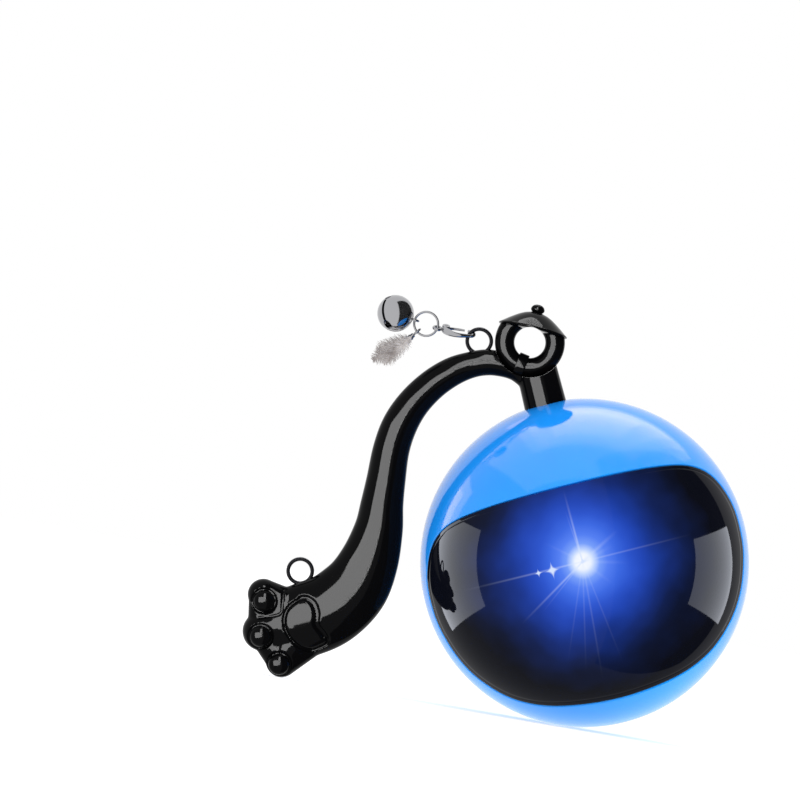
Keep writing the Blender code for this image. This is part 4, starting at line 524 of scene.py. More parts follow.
def keep(name, mesh, body, finish, replaces=(), sharp=35):
    """Makes a piece of a mesh, gives it its finish and lets it ride on its body."""
    mesh.transform(BALL)
    piece = bpy.data.objects.new(name, mesh)
    scene.collection.objects.link(piece)
    mesh.materials.clear()
    mesh.materials.append(finish.material)
    mesh.shade_smooth()
    mesh.set_sharp_from_angle(angle=math.radians(sharp))
    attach(piece, body)
    if replaces:
        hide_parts(*replaces)
    print(name, "faces", len(mesh.polygons))
    return piece


# %% [markdown]
# A few plain forms come back all over the toy: balls, rods, discs, blocks and wire hoops. Each
# is a short call of the helpers above. A bell, a bead and a toe all start from the same ball,
# and rods and blocks mostly serve as cutters.

# %% Plain forms
BACKWARD = Vector((0, 1, 0))
# A plane for a hoop: two ways in it, and the way across it
FRONT_PLANE = (Vector((1, 0, 0)), Vector((0, 0, 1)), BACKWARD)
CORNERS = ((1, 1), (-1, 1), (-1, -1), (1, -1))


def globe(radius, centre, stretch=(1, 1, 1), steps=48):
    """A ball form, drawn out along the axes."""
    arc = [math.pi / 2 - math.pi * i / (steps // 2) for i in range(steps // 2 + 1)]
    made = turned("globe", [(radius * abs(math.cos(a)), radius * math.sin(a)) for a in arc], steps)
    made.transform(Matrix.Diagonal((*stretch, 1)))
    return placed(made, centre)


def rod(radius, start, end, direction, centre, steps=48):
    """A plain rod along a direction."""
    made = turned("rod", [(0, end), (radius, end), (radius, start), (0, start)], steps)
    return placed(made, centre, direction)


def disc(name, radius, half_height, rounding, steps):
    """A disc round Z with soft rims."""
    profile = [(0, half_height), (radius, half_height), (radius, -half_height), (0, -half_height)]
    return turned(name, softened(profile, rounding), steps)


def block(half_across, half_up, ends):
    """A four-sided block along Z. Each end gives its height and how far it is widened."""
    return skin("block", [[Vector((x * half_across * wider, y * half_up * wider, height))
                           for x, y in CORNERS] for height, wider in ends], ends=True)


def hoop(name, centre, plane, radius, wire, steps, wire_steps):
    """A wire of oval section that is bent to a circle in a plane."""
    across, up, normal = plane
    path = [centre + across * a + up * b for a, b in oval(radius, radius, steps)]
    return sweep(name, path, [wire] * steps, normal, wire_steps, closed=True)


print("a ball of 48 steps has", len(globe(BALL_RADIUS, Vector()).polygons), "faces")

# %% [markdown]
# The lens outline is drawn on the ball as seen from the front. Turned into polar angles it
# becomes one number: how far from the pole the edge lies for each turn round it. Both the
# front shell and the lens are then plain grids, with their last row on the outline, so the
# edge can be rounded with a few more rows and no Boolean touches the visible gap.

# %% Lens outline in polar form
# Half of the outline from the front, as shares of the ball radius, top to bottom
lens_outline_shares = [
    (0.0, 0.495), (0.30, 0.489), (0.56, 0.469), (0.76, 0.425), (0.885, 0.322),
    (0.958, 0.130), (0.965, -0.060), (0.945, -0.200), (0.880, -0.390),
    (0.770, -0.560), (0.600, -0.710), (0.360, -0.805), (0.0, -0.845),
]
COLUMNS = 240
SEAM_GAP = 0.3 * MM
EDGE_ROUND = 0.35 * MM

half_rim = [Vector(share) for share in lens_outline_shares]
rim_points = half_rim + [Vector((-p.x, p.y)) for p in reversed(half_rim[1:-1])]
rim_polar = sorted((math.atan2(p.y, p.x) % (2 * math.pi), math.asin(min(p.length, 0.999)))
                   for p in smooth_run(rim_points, 16, closed=True))


def edge_angle(turn):
    """Angle from the lens pole to its outline, at a turn round the pole."""
    turn %= 2 * math.pi
    for (t0, a0), (t1, a1) in zip(rim_polar, rim_polar[1:]):
        if t0 <= turn <= t1:
            return a0 + (a1 - a0) * (turn - t0) / max(t1 - t0, 1e-9)
    return rim_polar[0][1]


def on_ball(angle, turn, radius):
    """A point at an angle from the lens pole and a turn round it."""
    return Vector((math.sin(angle) * math.cos(turn), -math.cos(angle),
                   math.sin(angle) * math.sin(turn))) * radius


turns = [2 * math.pi * i / COLUMNS for i in range(COLUMNS)]
raw_edge = [edge_angle(turn) for turn in turns]
rim_edge = [sum(raw_edge[(i + k) % COLUMNS] for k in range(-2, 3)) / 5 for i in range(COLUMNS)]
print("lens reaches from", round(math.degrees(min(rim_edge)), 1),
      "to", round(math.degrees(max(rim_edge)), 1), "degrees off its pole")

# %% [markdown]
# The front shell runs from the lens outline to the seam, with its own wall thickness, rounded
# at both edges. The back shell is a bowl of the same wall. Each column of the grid is the
# same list of steps along the wall, so a loop over the turns makes the whole shell.

# %% Shell grids
OUTER_ROWS = 44
INNER_ROWS = 20
INNER_RADIUS = BALL_RADIUS - SHELL_WALL


def rounded_edge(angle, side, steps=4):
    """Angle and radius steps round an outer edge; side is +1 where the wall lies at larger
    angles than the edge."""
    reach = EDGE_ROUND / BALL_RADIUS
    out = []
    for k in range(steps + 1):
        a = math.pi / 2 * k / steps
        out.append((angle + side * reach * (1 - math.cos(a)),
                    BALL_RADIUS - EDGE_ROUND * (1 - math.sin(a))))
    return out


def spaced(start, end, count, radius):
    """Steps along a wall at one radius, between two angles but without them."""
    return [(start + (end - start) * i / count, radius) for i in range(1, count)]


seam_angle = math.pi / 2 - SEAM_GAP / 2 / BALL_RADIUS
seam_rim = list(reversed(rounded_edge(seam_angle, -1)))
front_rows = []
for turn, edge in zip(turns, rim_edge):
    lens_rim = rounded_edge(edge, 1)
    steps = [*lens_rim, *spaced(lens_rim[-1][0], seam_rim[0][0], OUTER_ROWS, BALL_RADIUS),
             *seam_rim, (seam_angle, INNER_RADIUS),
             *spaced(seam_angle, edge, INNER_ROWS, INNER_RADIUS), (edge, INNER_RADIUS)]
    front_rows.append([on_ball(angle, turn, radius) for angle, radius in steps])
front_shell = skin("shell_front", front_rows, along=True)

back_steps = [(0, BALL_RADIUS), *spaced(0, seam_rim[0][0], 2 * OUTER_ROWS, BALL_RADIUS),
              *seam_rim, (seam_angle, INNER_RADIUS),
              *spaced(seam_angle, 0, INNER_ROWS, INNER_RADIUS), (0, INNER_RADIUS)]
back_rows = [[on_ball(angle, turn, radius) * -1 for angle, radius in back_steps] for turn in turns]
back_shell = skin("shell_rear", back_rows, along=True, across=False)
print("shell faces", len(front_shell.polygons), len(back_shell.polygons))

# %% [markdown]
# The back carries what an owner uses: four screws deep in their wells, a pocket with the
# charging socket, and the button. Wells and pocket need walls behind them, so tubes and a pad
# are joined to the bowl first, and then everything is cut.

# %% Wells, pocket, button hole and neck hole
SCREW_PLACES = [(side * x, z) for x, z in ((17.0 * MM, 24.0 * MM), (12.0 * MM, -27.5 * MM))
                for side in (-1, 1)]
WELL_RADIUS = 2.4 * MM
WELL_WALL = 1.3 * MM
SCREW_SEAT = 4.0 * MM
POCKET_WIDTH = 15.0 * MM
POCKET_HEIGHT = 8.0 * MM
POCKET_DEPTH = 1.2 * MM
PAD_WALL = 2.2 * MM
PORT_DROP = 10.0 * MM
SOCKET_WIDTH = 9.0 * MM
SOCKET_HEIGHT = 3.3 * MM
BUTTON_RADIUS = 3.5 * MM
BUTTON_RISE = 7.0 * MM
FIT_GAP = 0.3 * MM
NECK_RADIUS = 4.9 * MM
OUTSIDE = 2 * BALL_RADIUS
DEEP_INSIDE = 0.8 * BALL_RADIUS


def pushed(outline, low, high):
    """A block along Y between two places, with its outline at the socket's height."""
    rows = [[Vector((x, y, z - PORT_DROP)) for x, z in outline] for y in (low, high)]
    return skin("pushed", rows, ends=True)


def stadium(width, height, low, high, steps=14):
    """The same with round ends."""
    reach = (width - height) / 2
    half = [-math.pi / 2 + math.pi * i / steps for i in range(steps + 1)]
    outline = [(reach + height / 2 * math.cos(a), height / 2 * math.sin(a)) for a in half]
    return pushed(outline + [(-x, -z) for x, z in outline], low, high)


def wall_at(x, z, radius):
    """How far back a ball's surface lies at a place seen from the front."""
    return math.sqrt(radius ** 2 - x ** 2 - z ** 2)


def screw_rods(radius, start, end):
    """Rods where the four screws go."""
    return [rod(radius, start, end, BACKWARD, Vector((x, 0, z))) for x, z in SCREW_PLACES]


pocket_floor = wall_at(POCKET_WIDTH / 2, PORT_DROP, BALL_RADIUS) - POCKET_DEPTH
pad_outline = [(x * (POCKET_WIDTH / 2 + SHELL_WALL), z * (POCKET_HEIGHT / 2 + SHELL_WALL))
               for x, z in CORNERS]
# A ball that ends inside the shell's wall trims the fillers, so none shows outside
trim = globe(INNER_RADIUS + SHELL_WALL / 2, Vector(), steps=96)
fillers = [carved(filler, [trim.copy()], "INTERSECT")
           for filler in [pushed(pad_outline, pocket_floor - PAD_WALL, BALL_RADIUS),
                          *screw_rods(WELL_RADIUS + WELL_WALL, SEAM_GAP, BALL_RADIUS)]]
cutters = [
    stadium(POCKET_WIDTH, POCKET_HEIGHT, pocket_floor, OUTSIDE),
    stadium(SOCKET_WIDTH + 2 * FIT_GAP, SOCKET_HEIGHT + 2 * FIT_GAP,
            pocket_floor - 2 * PAD_WALL, OUTSIDE),
    rod(BUTTON_RADIUS + FIT_GAP, 0.5 * BALL_RADIUS, OUTSIDE, BACKWARD,
        Vector((0, 0, BUTTON_RISE))),
    *screw_rods(WELL_RADIUS, SCREW_SEAT, OUTSIDE),
]
hole_radius = NECK_RADIUS + FIT_GAP
neck_hole = turned("neck_hole", softened([
    (0, OUTSIDE), (2 * NECK_RADIUS, OUTSIDE),
    (hole_radius + EDGE_ROUND, BALL_RADIUS + EDGE_ROUND / 2),
    (hole_radius, BALL_RADIUS - 2 * EDGE_ROUND), (hole_radius, DEEP_INSIDE), (0, DEEP_INSIDE),
], EDGE_ROUND), 96)
back_shell = carved(carved(back_shell, fillers, "UNION"), [*cutters, neck_hole.copy()])
front_shell = carved(front_shell, [neck_hole])
print("shell faces after the cuts", len(front_shell.polygons), len(back_shell.polygons))

# %% [markdown]
# A Boolean leaves odd faces round each hole, and smooth shading would show them as dents in
# the reflections. So the faces that lie on the ball get the sphere's own normals back.

# %% Shells with the sphere's normals
SHELL_SHARP = 30
# A face belongs to the ball's own surface where its normal is this close to the radius
NEARLY_RADIAL = 0.97


def with_ball_normals(mesh):
    """Gives the faces that lie on the ball the sphere's own normals."""
    mesh.shade_smooth()
    mesh.set_sharp_from_angle(angle=math.radians(SHELL_SHARP))
    normals = [Vector(corner.vector) for corner in mesh.corner_normals]
    for face in mesh.polygons:
        for i in face.loop_indices:
            spot = mesh.vertices[mesh.loops[i].vertex_index].co
            radial = spot.normalized()
            on_surface = abs(spot.length - BALL_RADIUS) < SEAM_GAP / 100
            if on_surface and face.normal.dot(radial) > NEARLY_RADIAL:
                normals[i] = radial
    return normals


for name, node, mesh in (("ball_shell_front", "shell_front", front_shell),
                         ("ball_shell_back", "shell_rear", back_shell)):
    ball_normals = with_ball_normals(mesh)
    keep(name, mesh, "ball", blue_plastic, [node], sharp=SHELL_SHARP)
    mesh.normals_split_custom_set([BALL.to_3x3() @ normal for normal in ball_normals])

# %% [markdown]
# The lens fills the opening, flush with the ball, with a hair gap all round and a rounded
# edge. It is a bowl whose last row follows the same outline, set back by the gap. A fine
# groove just inside the edge catches the light as a thin line.

# %% Lens
LENS_WALL = 3.0 * MM
LENS_ROWS = 60
BORDER_ROWS = 6
GROOVE_PLACE = 1.5 * MM
GROOVE_WIDTH = 0.24 * MM
GROOVE_DEPTH = 0.035 * MM

lens_rows = []
lens_inside = BALL_RADIUS - LENS_WALL
half_groove = GROOVE_WIDTH / 2 / BALL_RADIUS
for turn, edge in zip(turns, rim_edge):
    border = list(reversed(rounded_edge(edge - FIT_GAP / BALL_RADIUS, -1)))
    first, last = border[0][0], border[-1][0]
    groove = first - GROOVE_PLACE / BALL_RADIUS
    steps = [(0, BALL_RADIUS), *spaced(0, groove - half_groove, LENS_ROWS, BALL_RADIUS),
             (groove - half_groove, BALL_RADIUS), (groove, BALL_RADIUS - GROOVE_DEPTH),
             (groove + half_groove, BALL_RADIUS),
             *spaced(groove + half_groove, first, BORDER_ROWS, BALL_RADIUS), *border,
             (last, lens_inside), *spaced(last, 0, INNER_ROWS, lens_inside), (0, lens_inside)]
    lens_rows.append([on_ball(angle, turn, radius) for angle, radius in steps])
keep("lens", skin("lens", lens_rows, along=True, across=False), "ball", smoked_lens, ["visor"],
     sharp=50)

# %% [markdown]
# The tail's centre line is an S that starts under the ring, swings over to the left and ends
# in the paw. Each row of the list gives a place and a half width and depth there. The same
# shares drew the solid, and a smooth line with many more rows goes through them.

# %% Tail line
TAIL_SPAN = 66.5 * MM
TAIL_DROP = 49.0 * MM
PAW_WIDTH = 17.4 * MM
RING_RADIUS = 8.0 * MM
RING_HOLE_RADIUS = 3.53 * MM
NECK_RADIUS_TOP = 4.6 * MM
RING_CENTRE = Vector((0, 0, BALL_RADIUS + RING_RISE))
PAW_CENTRE = Vector((-TAIL_SPAN, 0, RING_CENTRE.z - TAIL_DROP))
TAIL_STEPS = 8

# Elbow under the ring: across, up, half width and half depth, as shares of RING_RADIUS
elbow_shares = [
    (-0.325, -1.20, 0.21, 0.27), (-0.44, -0.94, 0.24, 0.31), (-0.63, -0.66, 0.29, 0.34),
    (-0.95, -0.41, 0.35, 0.36), (-1.31, -0.26, 0.375, 0.375),
]
# Tail: across as shares of TAIL_SPAN, down as shares of TAIL_DROP, then half width and half
# depth as shares of PAW_WIDTH
tail_shares = [
    (-0.213, -0.035, 0.175, 0.175), (-0.283, -0.045, 0.192, 0.192),
    (-0.361, -0.082, 0.204, 0.204), (-0.438, -0.145, 0.218, 0.218),
    (-0.501, -0.227, 0.235, 0.235), (-0.550, -0.329, 0.243, 0.243),
    (-0.592, -0.459, 0.259, 0.255), (-0.626, -0.567, 0.284, 0.268),
    (-0.659, -0.678, 0.325, 0.282), (-0.716, -0.808, 0.391, 0.293),
    (-0.786, -0.912, 0.451, 0.302), (-0.880, -0.980, 0.483, 0.310),
    (-0.970, -1.000, 0.494, 0.306), (-1.040, -1.004, 0.462, 0.288),
    (-1.105, -1.003, 0.330, 0.230),
]
line = [Vector(row) * RING_RADIUS for row in elbow_shares]
line += [Vector((x * TAIL_SPAN, z * TAIL_DROP, wide * PAW_WIDTH, deep * PAW_WIDTH))
         for x, z, wide, deep in tail_shares]
tail_line = smooth_run(line, TAIL_STEPS)
tail_frames = []
for i, spot in enumerate(tail_line):
    ahead = tail_line[min(i + 1, len(tail_line) - 1)] - tail_line[max(i - 1, 0)]
    side = Vector((ahead.y, 0, -ahead.x)).normalized()
    tail_frames.append((RING_CENTRE + Vector((spot.x, 0, spot.y)), side, spot.z, spot.w))
print("tail rows", len(tail_frames))

# %% [markdown]
# Neck, elbow, tail and toes are one soft moulding, so they should melt into each other. Each
# is made as its own closed form and all are laid over each other. A voxel remesh then makes
# one skin over the lot, and a few rounds of smoothing draw a fillet into every crease.

# %% Tail skin
SKIN_VOXEL = 0.22 * MM
SMOOTH_ROUNDS = 14
# Toe lobes: across, up and radius, as shares of PAW_WIDTH from the paw's centre
toe_shares = [(-0.362, 0.454, 0.207), (-0.494, -0.011, 0.259), (-0.339, -0.454, 0.213)]
TOE_DEPTH = 1.05
# Where the toes' roots meet, as a share of PAW_WIDTH, and how thick the flesh is between toes
PALM_SHARE = 0.12
PALM_DEPTH = 4.6 * MM
WEB_SHARE = 0.92
# A root that swells runs to the palm's middle, and one that thins runs below it
ROOT_SWELL = 0.45
ROOT_THIN = -0.2
LOW_ROOT = 0.7


def on_paw(across, up):
    """A place seen from the front, as shares of PAW_WIDTH from the paw's centre."""
    return PAW_CENTRE + Vector((across, 0, up)) * PAW_WIDTH


forms = [skin("tail", [[place + side * a + BACKWARD * b for a, b in oval(wide, deep, 48)]
                       for place, side, wide, deep in tail_frames], ends=True)]
neck_low = BALL_RADIUS - SHELL_WALL
neck_top = RING_CENTRE.z - RING_HOLE_RADIUS
forms.append(turned("neck", [(0, neck_top), (NECK_RADIUS_TOP, neck_top),
                             (NECK_RADIUS, neck_low), (0, neck_low)], 64))
toe_centres = [on_paw(across, up) for across, up, radius in toe_shares]
for centre, (across, up, radius) in zip(toe_centres, toe_shares):
    forms.append(globe(radius * PAW_WIDTH, centre, (1, TOE_DEPTH, 1)))
    for root_up, growth in ((0.0, ROOT_SWELL), (min(LOW_ROOT * up, 0.0), ROOT_THIN)):
        palm = on_paw(PALM_SHARE, root_up)
        grown = [(share, radius * PAW_WIDTH * (1 + growth * share)) for share in (0, 0.35, 0.7, 1)]
        forms.append(sweep("toe_root", [centre.lerp(palm, share) for share, _ in grown],
                           [(wide, min(wide, PALM_DEPTH)) for _, wide in grown], BACKWARD, 32))
for first, second in ((0, 1), (1, 2)):
    web = WEB_SHARE * min(toe_shares[first][2], toe_shares[second][2]) * PAW_WIDTH
    forms.append(sweep("toe_web", [toe_centres[first].lerp(toe_centres[second], share)
                                   for share in (0.0, 0.5, 1.0)], [(web, web)] * 3, BACKWARD, 32))
rough = bpy.data.objects.new("rough_tail", together(forms))
scene.collection.objects.link(rough)
remesh = rough.modifiers.new("remesh", "REMESH")
remesh.mode = "VOXEL"
remesh.voxel_size = SKIN_VOXEL
remesh.use_smooth_shade = True
smooth = rough.modifiers.new("smooth", "SMOOTH")
smooth.factor = 0.5
smooth.iterations = SMOOTH_ROUNDS
bpy.context.view_layer.update()
tail_mesh = bpy.data.meshes.new_from_object(
    rough.evaluated_get(bpy.context.evaluated_depsgraph_get()))
bpy.data.objects.remove(rough, do_unlink=True)
print("tail skin faces", len(tail_mesh.polygons))

# %% [markdown]
# The paw's front carries one large pad and a bean on each toe, each set off by a narrow moat,
# and a crease under the upper toe. The moats are pressed into the skin: a point near one of
# these lines moves back, most on the line itself and less to its sides.

# %% Moats round the pads
PAD_HEIGHT = 12.0 * MM
BEAN_RADIUS = 2.4 * MM
MOAT_HALF_WIDTH = 0.60 * MM
MOAT_DEPTH = 0.70 * MM
CREASE_HALF_WIDTH = 0.42 * MM
CREASE_DEPTH = 0.26 * MM
# The moat is wider in the pad's hollow right side. That side fades in over shares of
# PAD_HEIGHT, across from the centre, and up from a number of fades below it.
HOLLOW_SHIFT = 0.8 * MM
HOLLOW_HALF_WIDTH = 0.95 * MM
HOLLOW_FADE_ACROSS = 0.25
HOLLOW_FADE_UP = 0.15
HOLLOW_FADES_BELOW = 2.3
HOLLOW_LEAST = 0.3
# Skin is pressed only where it looks to the front, and fully once it has turned this far
LOOKS_FORWARD = 0.2
TURN_FADE = 0.35
# Outline of the large pad, as shares of PAD_HEIGHT from its centre
pad_outline_shares = [
    (0.120, 0.483), (-0.183, 0.400), (-0.346, 0.200), (-0.367, -0.058), (-0.238, -0.350),
    (-0.029, -0.500), (0.196, -0.492), (0.342, -0.433), (0.333, -0.275), (0.247, -0.058),
    (0.300, 0.150), (0.275, 0.358),
]
pad_centre_shares = (0.069, -0.052)
# Beans on the toes: across and up from the toe's centre, as shares of PAW_WIDTH
bean_shares = [(-0.010, -0.085), (-0.035, -0.060), (-0.045, -0.030)]
# The crease under the upper toe, as shares of PAW_WIDTH from the paw's centre
crease_shares = [(-0.095, 0.43), (-0.15, 0.27), (-0.20, 0.16), (-0.34, 0.15), (-0.50, 0.17)]

pad_centre = on_paw(*pad_centre_shares)
pad_rim = [pad_centre + Vector((p.x, 0, p.y)) for p in smooth_run(
    [Vector(share) * PAD_HEIGHT for share in pad_outline_shares], 8, closed=True)]


def hollow_share(spot):
    """How far a place on the pad's rim belongs to its hollow right side, from 0 to 1."""
    away = (spot - pad_centre) / PAD_HEIGHT
    sideways = min(max(away.x / HOLLOW_FADE_ACROSS, 0), 1)
    upwards = min(max(away.z / HOLLOW_FADE_UP + HOLLOW_FADES_BELOW, 0), 1)
    return sideways * upwards


bean_centres = [centre + Vector((x, 0, z)) * PAW_WIDTH
                for centre, (x, z) in zip(toe_centres, bean_shares)]
crease = smooth_run([on_paw(x, z) for x, z in crease_shares], 8)
hollow_side = [spot - Vector((HOLLOW_SHIFT / 2, 0, 0)) for spot in pad_rim
               if hollow_share(spot) > HOLLOW_LEAST]
lines = [(pad_rim, MOAT_DEPTH, MOAT_HALF_WIDTH), (crease, CREASE_DEPTH, CREASE_HALF_WIDTH),
         (hollow_side, MOAT_DEPTH, HOLLOW_HALF_WIDTH)]
bean_moat = BEAN_RADIUS + MOAT_HALF_WIDTH / 4
for centre in bean_centres:
    ring = [centre + Vector((x, 0, z)) for x, z in oval(bean_moat, bean_moat, 48)]
    lines.append((ring, MOAT_DEPTH, MOAT_HALF_WIDTH))
tail_normals = [Vector(n.vector) for n in tail_mesh.vertex_normals]
pressed = 0
for point, normal in zip(tail_mesh.vertices, tail_normals):
    if point.co.x > pad_centre.x + PAD_HEIGHT or normal.y > -LOOKS_FORWARD:
        continue
    push = 0
    for path, depth, half in lines:
        near = min((spot.x - point.co.x) ** 2 + (spot.z - point.co.z) ** 2 for spot in path)
        if near < half ** 2:
            push = max(push, depth * (1 - near / half ** 2) ** 1.5)
    push *= min(1.0, (-LOOKS_FORWARD - normal.y) / TURN_FADE)
    if push:
        point.co.y += push
        pressed += 1
print("points pressed", pressed)

# %% [markdown]
# The ring hangs in a bite at the top of the neck, so a round piece is cut out of the skin
# there. A strap from the neck runs round the ring's tube and holds it.

# %% Ring bite and strap
STRAP_ANGLE = math.radians(234)
STRAP_WIDTH = 2.3 * MM
STRAP_WALL = 0.55 * MM
RING_TUBE = (RING_RADIUS - RING_HOLE_RADIUS) / 2
RING_MID_RADIUS = (RING_RADIUS + RING_HOLE_RADIUS) / 2

bite = rod(RING_RADIUS + FIT_GAP / 30, -PAW_WIDTH, PAW_WIDTH, BACKWARD, RING_CENTRE, 128)
tail_mesh = carved(tail_mesh, [bite])
keep("tail_skin", tail_mesh, "tail", black_rubber, ["tail"], sharp=48)

band_hole = RING_TUBE + FIT_GAP / 2
band = softened([
    (band_hole + STRAP_WALL, STRAP_WIDTH / 2), (band_hole + STRAP_WALL, -STRAP_WIDTH / 2),
    (band_hole, -STRAP_WIDTH / 2), (band_hole, STRAP_WIDTH / 2)], STRAP_WALL / 2.5, closed=True)
strap_out = Vector((math.cos(STRAP_ANGLE), 0, math.sin(STRAP_ANGLE)))
strap_along = Vector((-strap_out.z, 0, strap_out.x))
keep("ring_strap", placed(turned("ring_strap", band, 64, closed=True),
                          RING_CENTRE + strap_out * RING_MID_RADIUS, strap_along),
     "tail", black_rubber)

# %% [markdown]
# The large pad is a low cushion. Its outline is shrunk towards its centre in rings, each ring
# is dropped onto the paw by a ray, and then lifted by its place in the profile: under the
# skin at the rim, quickly up, and gently crowned in the middle. The beans are flat domes.

# %% Pad and beans
PAD_RISE = 0.60 * MM
# Pad profile: how far a ring is shrunk, and its lift as a share of PAD_RISE
pad_profile = [(1.0, -0.9), (0.985, -0.1), (0.965, 0.35), (0.94, 0.66), (0.90, 0.86),
               (0.84, 0.97), (0.72, 1.05), (0.56, 1.12), (0.38, 1.18), (0.20, 1.21), (0.0, 1.22)]
# The pad's rim lies a little inside the moat's line
RIM_SHARE = 0.985
# The ring whose depth on the paw all the rings follow
BASE_RING = 4
BEAN_PLACE = 0.80
BEAN_FLATNESS = 0.70

paw_tree = BVHTree.FromPolygons([v.co for v in tail_mesh.vertices],
                                [tuple(f.vertices) for f in tail_mesh.polygons])


def paw_front(spot):
    """Where the paw's skin lies behind a place seen from the front."""
    hit = paw_tree.ray_cast(Vector((spot.x, -PAW_WIDTH, spot.z)), BACKWARD)[0]
    return hit.y if hit else 0.0


pad_rings = [[pad_centre.lerp(spot - Vector((HOLLOW_SHIFT * hollow_share(spot), 0, 0)),
                              max(share * RIM_SHARE, 0.001)) for spot in pad_rim]
             for share, lift in pad_profile]
middle = sum(paw_front(spot) for spot in pad_rings[-1]) / len(pad_rim)
fronts = [paw_front(spot) for spot in pad_rings[BASE_RING]]
# Each place is averaged with its neighbours, three on each side
base = [sum(fronts[(i + k) % len(fronts)] for k in range(-3, 4)) / 7 for i in range(len(fronts))]
pad_skin = []
for ring, (share, lift) in zip(pad_rings, pad_profile):
    fall = (share / pad_profile[BASE_RING][0]) ** 2
    pad_skin.append([Vector((spot.x, middle + (edge - middle) * fall - lift * PAD_RISE, spot.z))
                     for spot, edge in zip(ring, base)])
keep("paw_pad", skin("paw_pad", pad_skin), "tail", black_rubber)

for i, (centre, (across, up, radius)) in enumerate(zip(bean_centres, toe_shares)):
    front = centre - BACKWARD * BEAN_PLACE * radius * PAW_WIDTH
    keep(f"toe_bean_{i + 1}", globe(BEAN_RADIUS, front, (1, BEAN_FLATNESS, 1), 64), "tail",
         black_rubber)

# %% [markdown]
# The ring is a chunky torus whose top is cut flat, and a pointed hat with a knob sits on the
# cut. The hat is turned from a profile and then tilted, with an arch cut over the hole.

# %% Ring and hat
HAT_RADIUS = 8.1 * MM
HAT_HEIGHT = 4.1 * MM
HAT_BRIM_RISE = 2.85 * MM
HAT_KNOB_RADIUS = 1.65 * MM
HAT_KNOB_HEIGHT = 2.0 * MM
HAT_TURN = (Matrix.Rotation(math.radians(27.6), 3, "Y")
            @ Matrix.Rotation(math.radians(-5), 3, "X"))
# Hat profile above its brim, as shares of its radius and height, and the knob's on top of it
hat_profile_shares = [
    (0.20, 0.985), (0.34, 0.90), (0.48, 0.76), (0.62, 0.58), (0.75, 0.40), (0.86, 0.235),
    (0.94, 0.11), (0.985, 0.045), (0.985, 0.0), (0.93, -0.055),
]
knob_profile_shares = [(0.0, 1.0), (0.32, 0.97), (0.60, 0.88), (0.82, 0.72), (0.95, 0.50),
                       (0.96, 0.32), (0.84, 0.16), (0.70, 0.06)]

ring_mesh = hoop("ring", RING_CENTRE, FRONT_PLANE, RING_MID_RADIUS, (RING_TUBE, RING_TUBE),
                 128, 48)
seat = HAT_BRIM_RISE + hat_profile_shares[-1][1] * HAT_HEIGHT + FIT_GAP / 3
lid = block(2 * RING_RADIUS, 2 * RING_RADIUS, ((seat, 1), (2 * RING_RADIUS, 1)))
ring_mesh = carved(ring_mesh, [placed(lid, RING_CENTRE, turn=HAT_TURN)])
keep("neck_ring", ring_mesh, "ring", black_plastic, ["eye_ring"], sharp=45)

dome = [(r * HAT_RADIUS, HAT_BRIM_RISE + h * HAT_HEIGHT) for r, h in hat_profile_shares]
knob = [(r * HAT_KNOB_RADIUS, dome[0][1] + h * HAT_KNOB_HEIGHT) for r, h in knob_profile_shares]
hat_mesh = placed(turned("hat", knob + dome + [(0, dome[-1][1])], 112), RING_CENTRE, turn=HAT_TURN)
arch = rod(RING_HOLE_RADIUS, -2 * HAT_RADIUS, 2 * HAT_RADIUS, BACKWARD, RING_CENTRE, 96)
keep("pointed_hat", carved(hat_mesh, [arch]), "ring", black_plastic, ["hat"],
     sharp=55)

# %% [markdown]
# Two loops of flat black wire stand on the tail, each on a small oval foot. The charm hangs
# on the upper one. A loop is an oval section carried round a circle, and its place comes from
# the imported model.

# %% Wire loops on the tail
EYELET_RADIUS = 3.2 * MM
EYELET_WIRE = 0.45 * MM
EYELET_DEPTH = 0.62 * MM
FOOT_LENGTH = 4.9 * MM
FOOT_WALL = 0.45 * MM
FOOT_NARROW = 0.45
# The rows of the tail on which the two loops stand
LOOP_ROWS = {"eyelet_top": 4 * TAIL_STEPS, "eyelet_paw": 16 * TAIL_STEPS + TAIL_STEPS // 2}


def node_centre(node):
    """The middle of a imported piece, in the ball's own frame."""
    low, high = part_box(node)
    return BALL.inverted() @ ((low + high) / 2)


for node, row in LOOP_ROWS.items():
    centre = node_centre(node)
    loop = hoop(node, centre, FRONT_PLANE, EYELET_RADIUS - EYELET_WIRE,
                (EYELET_WIRE, EYELET_DEPTH), 72, 20)
    side = tail_frames[row][1]
    outward = side if side.z > 0 else -side
    foot = disc("foot", FOOT_LENGTH / 2, FOOT_WALL, FOOT_WALL / 2, 48)
    foot.transform(Matrix.Diagonal((1, FOOT_NARROW, 1, 1)))
    upright = Matrix((outward.cross(BACKWARD), BACKWARD, outward)).transposed()
    foot = placed(foot, centre - outward * (EYELET_RADIUS - FOOT_WALL), turn=upright)
    keep(node + "_loop", together([loop, foot]), "tail", black_chrome, [node])

# %% [markdown]
# A lobster clasp hooks the charm to the loop: a swelling back that bends round into a hook, a
# thin gate with a thumb tab, and an eye for the wire ring. Its joints give the hook's centre
# line its start, the gate's pin and the eye. The back is one tapering sweep.

# %% Clasp
CLASP_REACH = 7.4 * MM
CLASP_TURN = math.radians(25)
CLASP_ANGLE = math.radians(156)
HOOK_RADIUS = 1.2 * MM
HOOK_WIRE = 0.40 * MM
CLASP_EYE_RADIUS = 1.0 * MM
CLASP_EYE_WIRE = 0.34 * MM
PIN_RADIUS = 0.30 * MM
CLASP_THICKNESS = 1.6 * MM
